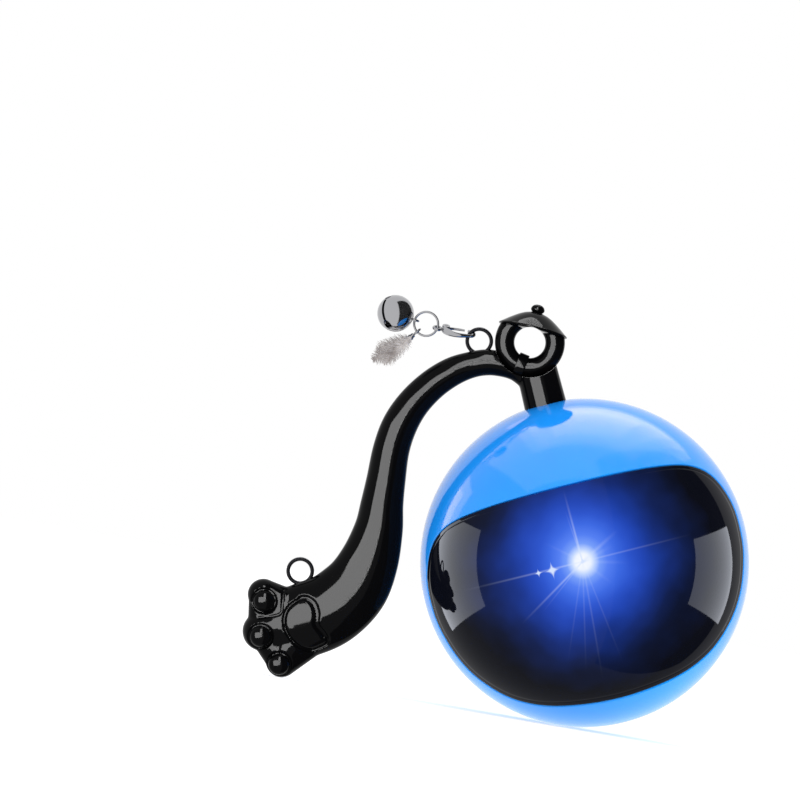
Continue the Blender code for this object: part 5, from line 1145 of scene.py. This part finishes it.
# Back of the clasp: along as shares of CLASP_REACH, across as shares of HOOK_RADIUS, swell
clasp_back_shares = [(0.84, 0.0, 1.2), (0.76, 0.40, 2.0), (0.62, 1.05, 1.9), (0.46, 1.40, 1.6),
                     (0.28, 1.42, 1.35), (0.12, 1.20, 1.15)]
HOOK_TURNS = [math.radians(turn) for turn in (90, 125, 160, 195, 230, 265)]
# Tip of the hook, and the gate in the same shares
HOOK_TIP = (0.35, -1.10, 0.8)
gate_shares = [(0.52, -0.95, 0.8), (0.32, -1.08, 0.75)]
# Thumb tab on the gate: along and across from the pin as shares of HOOK_RADIUS, swell
tab_shares = [(-0.2, 0.0, 0.8), (-0.5, -0.7, 0.9), (-0.4, -1.1, 0.6)]


def heading(angle):
    """Direction seen from the front, from +X towards +Z."""
    return Vector((math.cos(angle), 0, math.sin(angle)))


clasp_axis = heading(CLASP_ANGLE)
clasp_side = (heading(CLASP_ANGLE + math.pi / 2) * math.sin(CLASP_TURN)
              - BACKWARD * math.cos(CLASP_TURN))
clasp_normal = clasp_axis.cross(clasp_side)
clasp_eye = joint_place("link_swing")
hook_centre = clasp_eye - clasp_axis * CLASP_REACH
gate_pin = joint_place("gate_open")


def clasp_wire(name, points, between, flat):
    """A wire in the clasp's plane through points of along, across and swell."""
    run = smooth_run([Vector(point) for point in points], between)
    return sweep(name, [hook_centre + clasp_axis * p.x + clasp_side * p.y for p in run],
                 [(HOOK_WIRE * p.z * flat, HOOK_WIRE * p.z) for p in run], clasp_normal)


back_line = [(a * CLASP_REACH, b * HOOK_RADIUS, swell) for a, b, swell in clasp_back_shares]
back_line += [(HOOK_RADIUS * math.cos(a), HOOK_RADIUS * math.sin(a), 1.0) for a in HOOK_TURNS]
back_line.append((HOOK_TIP[0] * HOOK_RADIUS, HOOK_TIP[1] * HOOK_RADIUS, HOOK_TIP[2]))
clasp_eye_mesh = hoop("eye", clasp_eye, (clasp_axis, clasp_side, clasp_normal),
                      CLASP_EYE_RADIUS - CLASP_EYE_WIRE / 2, (CLASP_EYE_WIRE, CLASP_EYE_WIRE),
                      48, 16)
cheek = disc("cheek", 3 * PIN_RADIUS, CLASP_THICKNESS / 2, PIN_RADIUS / 2, 32)
keep("clasp_hook", together([clasp_wire("clasp", back_line, 8, 0.85), clasp_eye_mesh,
                             placed(cheek, gate_pin, clasp_normal)]),
     "clasp", nickel, ["clasp_body"])
pin = disc("clasp_pin", PIN_RADIUS, CLASP_THICKNESS / 2 + PIN_RADIUS / 3, PIN_RADIUS / 3, 24)
keep("clasp_pin", placed(pin, gate_pin, clasp_normal), "clasp", nickel, ["gate_pin"])

pin_along = (gate_pin - hook_centre).dot(clasp_axis)
pin_across = (gate_pin - hook_centre).dot(clasp_side)
tip_along = HOOK_TIP[0] * HOOK_RADIUS + HOOK_WIRE + FIT_GAP
gate_line = [(pin_along, pin_across, 1.0),
             *[(a * CLASP_REACH, b * HOOK_RADIUS, swell) for a, b, swell in gate_shares],
             (tip_along, HOOK_TIP[1] * HOOK_RADIUS, 0.6)]
tab_line = [(pin_along + a * HOOK_RADIUS, pin_across + b * HOOK_RADIUS, swell)
            for a, b, swell in tab_shares]
keep("clasp_lever", together([clasp_wire("gate", gate_line, 6, 0.8),
                              clasp_wire("tab", tab_line, 6, 0.7)]),
     "gate", nickel, ["clasp_gate"])

# %% [markdown]
# A wire ring joins the clasp, the bell and the feathers. The bell is a thin ball whose mouth
# is a slot with two round ends, turned partly to the front, with a bead rolling inside.

# %% Wire ring, bell and bead
LINK_RADIUS = 3.0 * MM
LINK_WIRE = 0.27 * MM
LINK_MIDDLE = LINK_RADIUS - LINK_WIRE
BELL_RADIUS = 4.2 * MM
BELL_WALL = 0.45 * MM
BELL_ANGLE = math.radians(147)
BELL_MOUTH_TURN = math.radians(43)
BELL_SLOT_WIDTH = 0.7 * MM
BELL_HOLE_RADIUS = 0.9 * MM
SLOT_REACH = 0.80 * BELL_RADIUS
MOUTH_START = 0.3 * BELL_RADIUS
BEAD_RADIUS = 1.2 * MM
SHANK_RADIUS = 0.85 * MM
SHANK_WIRE = 0.28 * MM

link_centre = joint_place("bell_swing")
keep("wire_ring", hoop("wire_ring", link_centre, FRONT_PLANE, LINK_MIDDLE, (LINK_WIRE, LINK_WIRE),
                       96, 16), "link", nickel, ["link_ring"])


def shank(pin_place, out):
    """A small wire loop round the wire ring."""
    return hoop("shank", pin_place, (out, BACKWARD, out.cross(BACKWARD)), SHANK_RADIUS,
                (SHANK_WIRE, SHANK_WIRE), 40, 12)


bell_out = heading(BELL_ANGLE)
bell_pin = link_centre + bell_out * LINK_MIDDLE
bell_centre = bell_pin + bell_out * (BELL_RADIUS + SHANK_RADIUS / 2)
bell_mouth = bell_out * math.cos(BELL_MOUTH_TURN) - BACKWARD * math.sin(BELL_MOUTH_TURN)
bell_turn = (-bell_mouth).to_track_quat("Z", "Y")
slot_box = block(BELL_SLOT_WIDTH / 2, SLOT_REACH, ((-2 * BELL_RADIUS, 1), (-MOUTH_START, 1)))
bell_cutters = [globe(BELL_RADIUS - BELL_WALL, bell_centre, steps=64),
                placed(slot_box, bell_centre, turn=bell_turn.to_matrix())]
for side in (-1, 1):
    end = bell_centre + bell_mouth * MOUTH_START + bell_turn @ Vector((0, side * SLOT_REACH, 0))
    bell_cutters.append(rod(BELL_HOLE_RADIUS, 0, 2 * BELL_RADIUS, bell_mouth, end, 32))
bell_mesh = carved(globe(BELL_RADIUS, bell_centre, steps=96), bell_cutters)
keep("jingle_bell", together([bell_mesh, shank(bell_pin, bell_out)]), "bell", nickel, ["bell"],
     sharp=30)
keep("bell_bead", globe(BEAD_RADIUS, node_centre("bell_pellet"), steps=32), "pellet", nickel,
     ["bell_pellet"])

# %% [markdown]
# A crimped metal cap holds the feathers, and a shank like the bell's hangs it on the wire
# ring. It is turned from a profile with two waists, where the crimp was pressed, and it is
# hollow at its mouth.

# %% Crimp cap
FEATHER_ANGLE = math.radians(207)
CAP_RADIUS = 0.95 * MM
CAP_LENGTH = 2.6 * MM
# Profile of the cap, as shares of its radius and length
cap_shares = [(0, 0), (0.55, 0), (0.62, 0.25), (0.82, 0.32), (0.72, 0.5), (1.0, 0.62), (1.0, 1.0),
              (0.8, 1.0), (0.75, 0.7), (0, 0.65)]
CAP_ROUND = 0.12 * MM

feather_out = heading(FEATHER_ANGLE)
feather_pin = link_centre + feather_out * LINK_MIDDLE
cap_start = SHANK_RADIUS + SHANK_WIRE / 2
cap_profile = softened([(r * CAP_RADIUS, h * CAP_LENGTH) for r, h in cap_shares], CAP_ROUND)
cap_mesh = placed(turned("cap", cap_profile, 40), feather_pin + feather_out * cap_start,
                  feather_out)
keep("crimp_cap", together([cap_mesh, shank(feather_pin, feather_out)]), "feathers", nickel,
     ["feather_cap"])

# %% [markdown]
# Three small down feathers come out of the cap. A feather is a thin quill with barbs on
# both sides. Each barb is a narrow blade that curves outwards and droops. Their lengths follow
# a leaf outline, and a little seeded chance in length and turn makes them look ruffled.

# %% Feathers
# Each feather's heading from the cap's, its tilt to the back and its length
feather_set = [(-21, 38, 10.6), (-12, 10, 8.4), (3, -6, 9.0)]
# Where each starts along the cap, as a share of its length: the middle one just past its mouth
feather_starts = (0.35, 1.1, 0.25)
FEATHER_WIDTH = 4.2 * MM
FEATHER_SPACING = 1.3 * MM
QUILL_RADIUS = 0.14 * MM
BOW_SHARE = 0.2
BARBS = 110
BARB_WIDTH = 0.16 * MM
BARB_STEPS = 5
BARB_TAPER = 0.75
# The part of the quill that carries barbs, and the chance in their reach, lift, lead and curl
BARB_RUN = (0.04, 0.95)
REACH_CHANCE = (0.75, 1.08)
LIFT_CHANCE = (-0.28, 0.28)
LEAD_CHANCE = (0.35, 0.85)
CURL_CHANCE = (-0.25, 0.35)


def leaf_width(share):
    """Half width of a feather along it, as a share of the full half width."""
    return min(1.0, 0.12 + 1.25 * math.sin(math.pi * min(1.0, share ** 0.8)) ** 0.8)


def feather(name, root, out, length, seed):
    """A quill with soft barbs on both sides."""
    chance = random.Random(seed)
    aside = out.cross(BACKWARD)
    bow = BACKWARD * (2 - seed) * BOW_SHARE * FEATHER_WIDTH
    spine = [root + out * length * t + bow * t * t for t in [i / 12 for i in range(13)]]
    thickness = [QUILL_RADIUS * (1.1 - i / 13) for i in range(13)]
    quill = sweep("quill", spine, [(thick, thick) for thick in thickness], BACKWARD, 6)
    points, faces = [], []
    for i in range(BARBS * 2):
        share = BARB_RUN[0] + BARB_RUN[1] * (i // 2) / BARBS
        side = 1 if i % 2 else -1
        start = spine[0].lerp(spine[-1], share) + bow * (share * share - share)
        reach = leaf_width(share) * FEATHER_WIDTH / 2 * chance.uniform(*REACH_CHANCE)
        lift = BACKWARD * chance.uniform(*LIFT_CHANCE)
        lead = chance.uniform(*LEAD_CHANCE)
        flat = (aside * side + out * lead + lift).normalized()
        curl = chance.uniform(*CURL_CHANCE)
        broad = flat.cross(BACKWARD).normalized()
        for k in range(BARB_STEPS + 1):
            t = k / BARB_STEPS
            spot = start + flat * reach * t + out * curl * reach * t * t
            half = BARB_WIDTH / 2 * (1 - BARB_TAPER * t)
            if k:
                low = len(points)
                faces.append((low - 2, low - 1, low + 1, low))
            points += [tuple(spot + broad * half), tuple(spot - broad * half)]
    barbs = bpy.data.meshes.new(name + "_barbs")
    barbs.from_pydata(points, [], faces)
    return together([quill, barbs])


for i, (turn, tilt, length) in enumerate(feather_set):
    tilt = math.radians(tilt)
    way = heading(FEATHER_ANGLE + math.radians(turn)) * math.cos(tilt) + BACKWARD * math.sin(tilt)
    root = (feather_pin + feather_out * (cap_start + feather_starts[i] * CAP_LENGTH)
            + BACKWARD * (1 - i) * FEATHER_SPACING)
    made = feather(f"down_feather_{i + 1}", root, way, length * MM, i + 1)
    keep(f"down_feather_{i + 1}", made, "feathers", grey_down, [f"feather_{i + 1}"],
         sharp=60)

# %% [markdown]
# The button is a low cap that follows the ball's curve, with a shallow dip for a finger and a
# rounded rim. It is a stack of rings: each ring's depth comes from the sphere at that place.

# %% Power button
BUTTON_PROUD = 0.7 * MM
BUTTON_DIP = 0.35 * MM
DIP_SHARE = 0.8
BUTTON_ROUND = 0.4 * MM
BUTTON_FLANGE = 0.9 * MM
FLAT_RINGS = 14
ROUND_RINGS = 5

flat_radius = BUTTON_RADIUS - BUTTON_ROUND
flange_radius = BUTTON_RADIUS + BUTTON_FLANGE
# Rings of the top: radius, and how deep they lie under a ball round the shell
top_rings = []
for i in range(FLAT_RINGS + 1):
    radius = flat_radius * i / FLAT_RINGS
    dip = max(0.0, 1 - (radius / (DIP_SHARE * BUTTON_RADIUS)) ** 2) ** 2
    top_rings.append((radius, BUTTON_DIP * dip))
for k in range(1, ROUND_RINGS + 1):
    a = math.pi / 2 * k / ROUND_RINGS
    top_rings.append((flat_radius + BUTTON_ROUND * math.sin(a), BUTTON_ROUND * (1 - math.cos(a))))
button_skin = [[Vector((x, wall_at(x, z + BUTTON_RISE, BALL_RADIUS + BUTTON_PROUD) - drop,
                        z + BUTTON_RISE)) for x, z in oval(radius, radius, 64)]
               for radius, drop in top_rings]
under = wall_at(0, BUTTON_RISE + flange_radius + BUTTON_FLANGE, INNER_RADIUS) - FIT_GAP
for radius, depth in ((BUTTON_RADIUS, under), (flange_radius, under),
                      (flange_radius, under - BUTTON_FLANGE), (0, under - BUTTON_FLANGE)):
    button_skin.append([Vector((x, depth, z + BUTTON_RISE)) for x, z in oval(radius, radius, 64)])
keep("button_cap", skin("button_cap", button_skin), "button", black_plastic, ["power_button"])

# %% [markdown]
# Four pan-head screws hold the shells together. The head is turned with a rounded rim, and a
# cross recess is cut into it by two tapered bars.

# %% Shell screws
SCREW_RADIUS = 1.1 * MM
HEAD_RADIUS = 2.1 * MM
HEAD_HEIGHT = 1.4 * MM
SCREW_LENGTH = 9.0 * MM
# The cross recess: arm and half width as shares of HEAD_RADIUS, and how its bars widen upwards
RECESS_ARM = 0.7
RECESS_WIDTH = 0.16
RECESS_TAPER = ((HEAD_HEIGHT / 3, 0.6), (2 * HEAD_HEIGHT, 1.2))

head = softened([(0, HEAD_HEIGHT), (0.75 * HEAD_RADIUS, HEAD_HEIGHT),
                 (HEAD_RADIUS, HEAD_HEIGHT / 3), (HEAD_RADIUS, 0), (SCREW_RADIUS, 0),
                 (SCREW_RADIUS, -SCREW_LENGTH + SCREW_RADIUS), (0, -SCREW_LENGTH)],
                HEAD_HEIGHT / 4)
for i, (x, z) in enumerate(SCREW_PLACES):
    bars = [block(across * HEAD_RADIUS, up * HEAD_RADIUS, RECESS_TAPER)
            for across, up in ((RECESS_ARM, RECESS_WIDTH), (RECESS_WIDTH, RECESS_ARM))]
    screw_mesh = carved(turned("screw", head, 48), bars)
    keep(f"cross_screw_{i + 1}", placed(screw_mesh, Vector((x, SCREW_SEAT, z)), BACKWARD), "ball",
         nickel, [f"shell_screw_{i + 1}"])

# %% [markdown]
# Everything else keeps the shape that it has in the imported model: the socket in its pocket and
# the drive inside the ball. Each gets the procedural finish of what it is made of.

# %% Finishes of the carried-over pieces
node_finishes = {
    white_plastic: ["neck_plug", "drive_frame", "gear_cover", "final_gear", "idler_gear",
                    "battery_strap", "led_reflector"],
    nickel: ["motor", "idler_pin", "weight_axle", "usb_socket", "frame_screw_1", "frame_screw_2"],
    brass: ["motor_pinion", "axle_bush_left", "axle_bush_right"],
    cast_iron: ["swing_weight"],
    battery_wrap: ["battery"],
    board_green: ["led_board", "main_board"],
    clear_lamp: ["led"],
    black_plastic: ["tact_switch"],
}
for finish, nodes in node_finishes.items():
    for name in nodes:
        shape = frame["nodes"][name]
        shape.data.materials.clear()
        shape.data.materials.append(finish.material)
finished = {name for nodes in node_finishes.values() for name in nodes}
left_plain = [name for name, node in frame["nodes"].items()
              if not node.hide_render and name not in finished]
print("nodes without a finish:", left_plain)

# %% [markdown]
# The toy stands on a plain white floor in a white room. Camera, mirror and glass rays see the
# room at full white, while the light that falls on the toy from it is softer. The floor gives
# off part of its white itself, so that it matches the room and still takes the toy's shadow.

# %% Room and floor
ROOM_LIGHT = 0.95
FLOOR_SIZE = 6.0
FLOOR_GLOW = 0.50
FLOOR_TONES = ((0.80, 0.80, 0.80, 1), (0.82, 0.82, 0.82, 1))


def seen_straight(tree):
    """One where a camera, mirror or glass ray arrives, and zero for soft light."""
    path = tree.nodes.new("ShaderNodeLightPath")
    share = path.outputs["Is Camera Ray"]
    for kind in ("Is Glossy Ray", "Is Transmission Ray"):
        larger = tree.nodes.new("ShaderNodeMath")
        larger.operation = "MAXIMUM"
        tree.links.new(share, larger.inputs[0])
        tree.links.new(path.outputs[kind], larger.inputs[1])
        share = larger.outputs[0]
    return share


room = bpy.data.worlds.new("white_room")
scene.world = room
room.use_nodes = True
level = room.node_tree.nodes.new("ShaderNodeMapRange")
level.inputs["To Min"].default_value = ROOM_LIGHT
level.inputs["To Max"].default_value = 1.0
white = room.node_tree.nodes["Background"]
white.inputs["Color"].default_value = (1, 1, 1, 1)
room.node_tree.links.new(seen_straight(room.node_tree), level.inputs["Value"])
room.node_tree.links.new(level.outputs[0], white.inputs["Strength"])

floor_paint = Finish("floor_paint")
floor_glow = floor_paint.maths("MULTIPLY", seen_straight(floor_paint.tree), FLOOR_GLOW)
floor_paint.set(Base_Color=floor_paint.mix(floor_paint.noise(0.4), *FLOOR_TONES), Roughness=0.9,
                Specular_IOR_Level=0.0, Emission_Color=(1, 1, 1, 1), Emission_Strength=floor_glow)
floor = bpy.data.objects.new("floor", tidy(
    "floor", [(x * FLOOR_SIZE / 2, y * FLOOR_SIZE / 2, 0) for x, y in CORNERS], [(0, 1, 2, 3)]))
scene.collection.objects.link(floor)
floor.data.materials.append(floor_paint.material)
print("room light", ROOM_LIGHT)

# %% [markdown]
# Soft boxes draw the shapes, and each is placed by what it should show. A highlight seen at a
# place on a round form comes from twice the angle of the surface there. The helper does that
# sum: it takes the place where a box should appear, as shares of the form's half width to the
# right and up, and gives the direction the box must stand in.

# %% Where a soft box must stand
TO_CAMERA = camera.matrix_world.to_3x3() @ Vector((0, 0, 1))
PICTURE_RIGHT = camera.matrix_world.to_3x3() @ Vector((1, 0, 0))
PICTURE_UP = camera.matrix_world.to_3x3() @ Vector((0, 1, 0))


def mirrored(across, up):
    """The direction that a round form shows at a place on it, seen from the camera."""
    ahead = math.sqrt(max(0.0, 1 - across ** 2 - up ** 2))
    face = PICTURE_RIGHT * across + PICTURE_UP * up + TO_CAMERA * ahead
    return face * 2 * ahead - TO_CAMERA


print("rim of a ball shows what lies", mirrored(0.99, 0.0)[:])

# %% [markdown]
# A soft box is a flat lamp. Light linking ties it to a group of pieces, and switching its soft
# light off leaves only what mirrors show of it. For a window in the lens the helper is given
# the edges that should be seen, and works out how large the box is and where it stands.

# %% How a soft box is made
BOX_DISTANCE = 0.6
linked = {"lens": ["lens"], "shell": ["ball_shell_front", "ball_shell_back"],
          "hat": ["pointed_hat", "eyelet_top_loop", "eyelet_paw_loop"],
          "black": ["tail_skin", "ring_strap", "paw_pad", "toe_bean_1", "toe_bean_2", "toe_bean_3",
                    "neck_ring", "pointed_hat"]}
receivers = {}
for group, names in linked.items():
    receivers[group] = bpy.data.collections.new("lit_" + group)
    for name in names:
        receivers[group].objects.link(bpy.data.objects[name])
blockers = bpy.data.collections.new("casts_shadows")
for piece in scene.objects:
    if piece.type == "MESH" and piece is not floor:
        blockers.objects.link(piece)


def soft_box(name, spot, facing, width, height, upright, brightness, colour):
    """A flat lamp at a place, facing a direction, with its height along upright."""
    lamp = bpy.data.lights.new(name, "AREA")
    lamp.shape = "RECTANGLE"
    lamp.size = width
    lamp.size_y = height
    lamp.energy = brightness * math.pi * width * height
    lamp.color = colour
    box = bpy.data.objects.new(name, lamp)
    scene.collection.objects.link(box)
    back = -facing.normalized()
    across = upright.cross(back).normalized()
    box.matrix_world = Matrix.Translation(spot) @ Matrix(
        (across, back.cross(across), back)).transposed().to_4x4()
    box.light_linking.blocker_collection = blockers
    return box


def for_mirrors_only(box, group):
    """Links a lamp to one group and keeps its light for mirror rays."""
    box.visible_diffuse = False
    box.light_linking.receiver_collection = receivers[group]


def mirror_box(name, edges, brightness, colour, group, focus, middle=None):
    """A lamp that shows within these edges on the pieces of one group, and lights no more."""
    left, right_end, low_end, high_end = edges
    middle = middle or ((left + right_end) / 2, (low_end + high_end) / 2)
    ahead = mirrored(*middle).normalized()
    across = PICTURE_UP.cross(ahead).normalized()
    rise = ahead.cross(across)
    us = [way.dot(across) / way.dot(ahead)
          for way in (mirrored(left, middle[1]), mirrored(right_end, middle[1]))]
    vs = [way.dot(rise) / way.dot(ahead)
          for way in (mirrored(middle[0], low_end), mirrored(middle[0], high_end))]
    width, height = abs(us[1] - us[0]), abs(vs[1] - vs[0])
    spot = focus + (ahead + across * sum(us) / 2 + rise * sum(vs) / 2) * BOX_DISTANCE
    for_mirrors_only(soft_box(name, spot, -ahead, width * BOX_DISTANCE, height * BOX_DISTANCE,
                              rise, brightness, colour), group)
    print(name, "covers", round(width, 2), "by", round(height, 2))


print("groups to light:", ", ".join(receivers))

# %% [markdown]
# A glossy toy shows its lamps, so each highlight has a soft box of its own. Two stand in the
# lens as grey windows, and two that meet in an L draw the long grey streak down the tail. Boxes
# laid over each other give the shell its pale patches with soft edges, and one lies on the hat.
# Each is linked to the pieces it serves, as a studio would flag it off from the rest, and gives
# off light for mirror rays only, so it brightens nothing else.

# %% Soft boxes
WINDOW_GREY = (0.86, 0.90, 1.0)
LILAC = (1.0, 0.72, 0.90)
WHITE = (1.0, 1.0, 1.0)
# Name, place it shows at (left, right, low, high as shares), brightness, colour, what it lights
window_boxes = [
    ("left_window", (-0.90, -0.64, -0.39, 0.27), 14.0, WINDOW_GREY, "lens"),
    ("right_window", (0.65, 0.88, -0.34, 0.18), 14.0, WINDOW_GREY, "lens"),
]
# The two of the streak meet edge to edge, so both are measured from the same middle
streak_boxes = [
    ("streak_upper", (-0.08, 0.085, -0.08, 0.60), 42.0, WHITE, "black"),
    ("streak_left", (-0.42, -0.08, -0.12, 0.25), 42.0, WHITE, "black"),
]
STREAK_MIDDLE = (-0.15, 0.15)
# Highlights set by direction (right, up, to the camera): size over distance, brightness, colour
# and what they light
sky_boxes = [
    ("top_glow", (0.0, 0.93, -0.15), 1.7, 1.5, 1.2, LILAC, "shell"),
    ("top_patch", (0.06, 0.85, -0.40), 1.00, 0.95, 1.0, LILAC, "shell"),
    ("top_patch_core", (0.05, 0.85, -0.40), 0.80, 0.80, 1.0, LILAC, "shell"),
    ("top_patch_heart", (0.04, 0.85, -0.42), 0.50, 0.55, 1.2, LILAC, "shell"),
    ("left_patch", (-0.80, 0.33, -0.53), 0.52, 0.46, 1.9, LILAC, "shell"),
    ("left_patch_core", (-0.78, 0.32, -0.56), 0.32, 0.30, 1.9, LILAC, "shell"),
    ("hat_streak", (0.10, 0.90, -0.38), 0.78, 0.24, 8.0, WHITE, "hat"),
]

for row in window_boxes:
    mirror_box(*row, ball_centre)
for name, direction, width, height, brightness, colour, group in sky_boxes:
    away = Matrix((PICTURE_RIGHT, PICTURE_UP, TO_CAMERA)).transposed() @ Vector(direction)
    for_mirrors_only(soft_box(name, ball_centre + away * BOX_DISTANCE, -away, width * BOX_DISTANCE,
                              height * BOX_DISTANCE, PICTURE_UP, brightness, colour), group)
for row in streak_boxes:
    mirror_box(*row, BALL @ PAW_CENTRE.lerp(RING_CENTRE, 0.5), STREAK_MIDDLE)

# %% [markdown]
# Plain fills give the soft light: one overhead, one from the front and two from low down. They
# show in no mirror. The last one stands for the light that the floor throws up under the
# shell, which is greener in the picture, so it lights the shell alone.

# %% Fills
# Name, direction, distance, size, brightness, colour, what it lights if not everything
plain_fills = [
    ("overhead_fill", (0.12, 0.10, 1.0), 0.6, 0.5, 0.9, WHITE, None),
    ("front_fill", (0.25, -1.0, 0.35), 0.9, 0.6, 1.2, WHITE, None),
    ("low_fill", (0.10, -0.65, -0.75), 0.5, 0.6, 1.3, WHITE, None),
    ("under_fill", (0.10, -0.35, -0.95), 0.5, 0.5, 5.0, (0.75, 1.0, 0.80), "shell"),
]
for name, direction, distance_off, size, brightness, colour, group in plain_fills:
    away = Vector(direction).normalized()
    fill = soft_box(name, ball_centre + away * distance_off, -away, size, size, side_axis,
                    brightness, colour)
    fill.visible_glossy = False
    if group:
        fill.light_linking.receiver_collection = receivers[group]
floor.visible_glossy = False
print("fills", len(plain_fills))

# %% [markdown]
# Plated metal in a white room looks like paper, so a photographer stands dark cards where the
# metal will mirror them. A tall card to the right of the camera draws a dark band down the
# bell and along one side of each wire. It is a stage piece that only mirror rays can see.

# %% Dark card
CARD_SHADE = 0.03
CARD_DISTANCE = 6 * BOX_DISTANCE
# Where the card shows on a round form, as shares of its half width to the right and up
card_corners = [(0.06, -0.60), (0.58, -0.60), (0.58, 0.62), (0.06, 0.62)]

card_black = Finish("card_black")
card_tones = [(shade, shade, shade, 1) for shade in (CARD_SHADE, 2 * CARD_SHADE)]
card_black.set(Base_Color=card_black.mix(card_black.noise(0.2), *card_tones), Roughness=1.0,
               Specular_IOR_Level=0.0)
card = bpy.data.objects.new("tall_card", tidy("tall_card", [
    ball_centre + mirrored(*corner).normalized() * CARD_DISTANCE for corner in card_corners],
    [(0, 1, 2, 3)]))
scene.collection.objects.link(card)
card.data.materials.append(card_black.material)
card.visible_camera = False
card.visible_diffuse = False
card.visible_transmission = False
card.visible_shadow = False
print("card at", CARD_DISTANCE, "m")
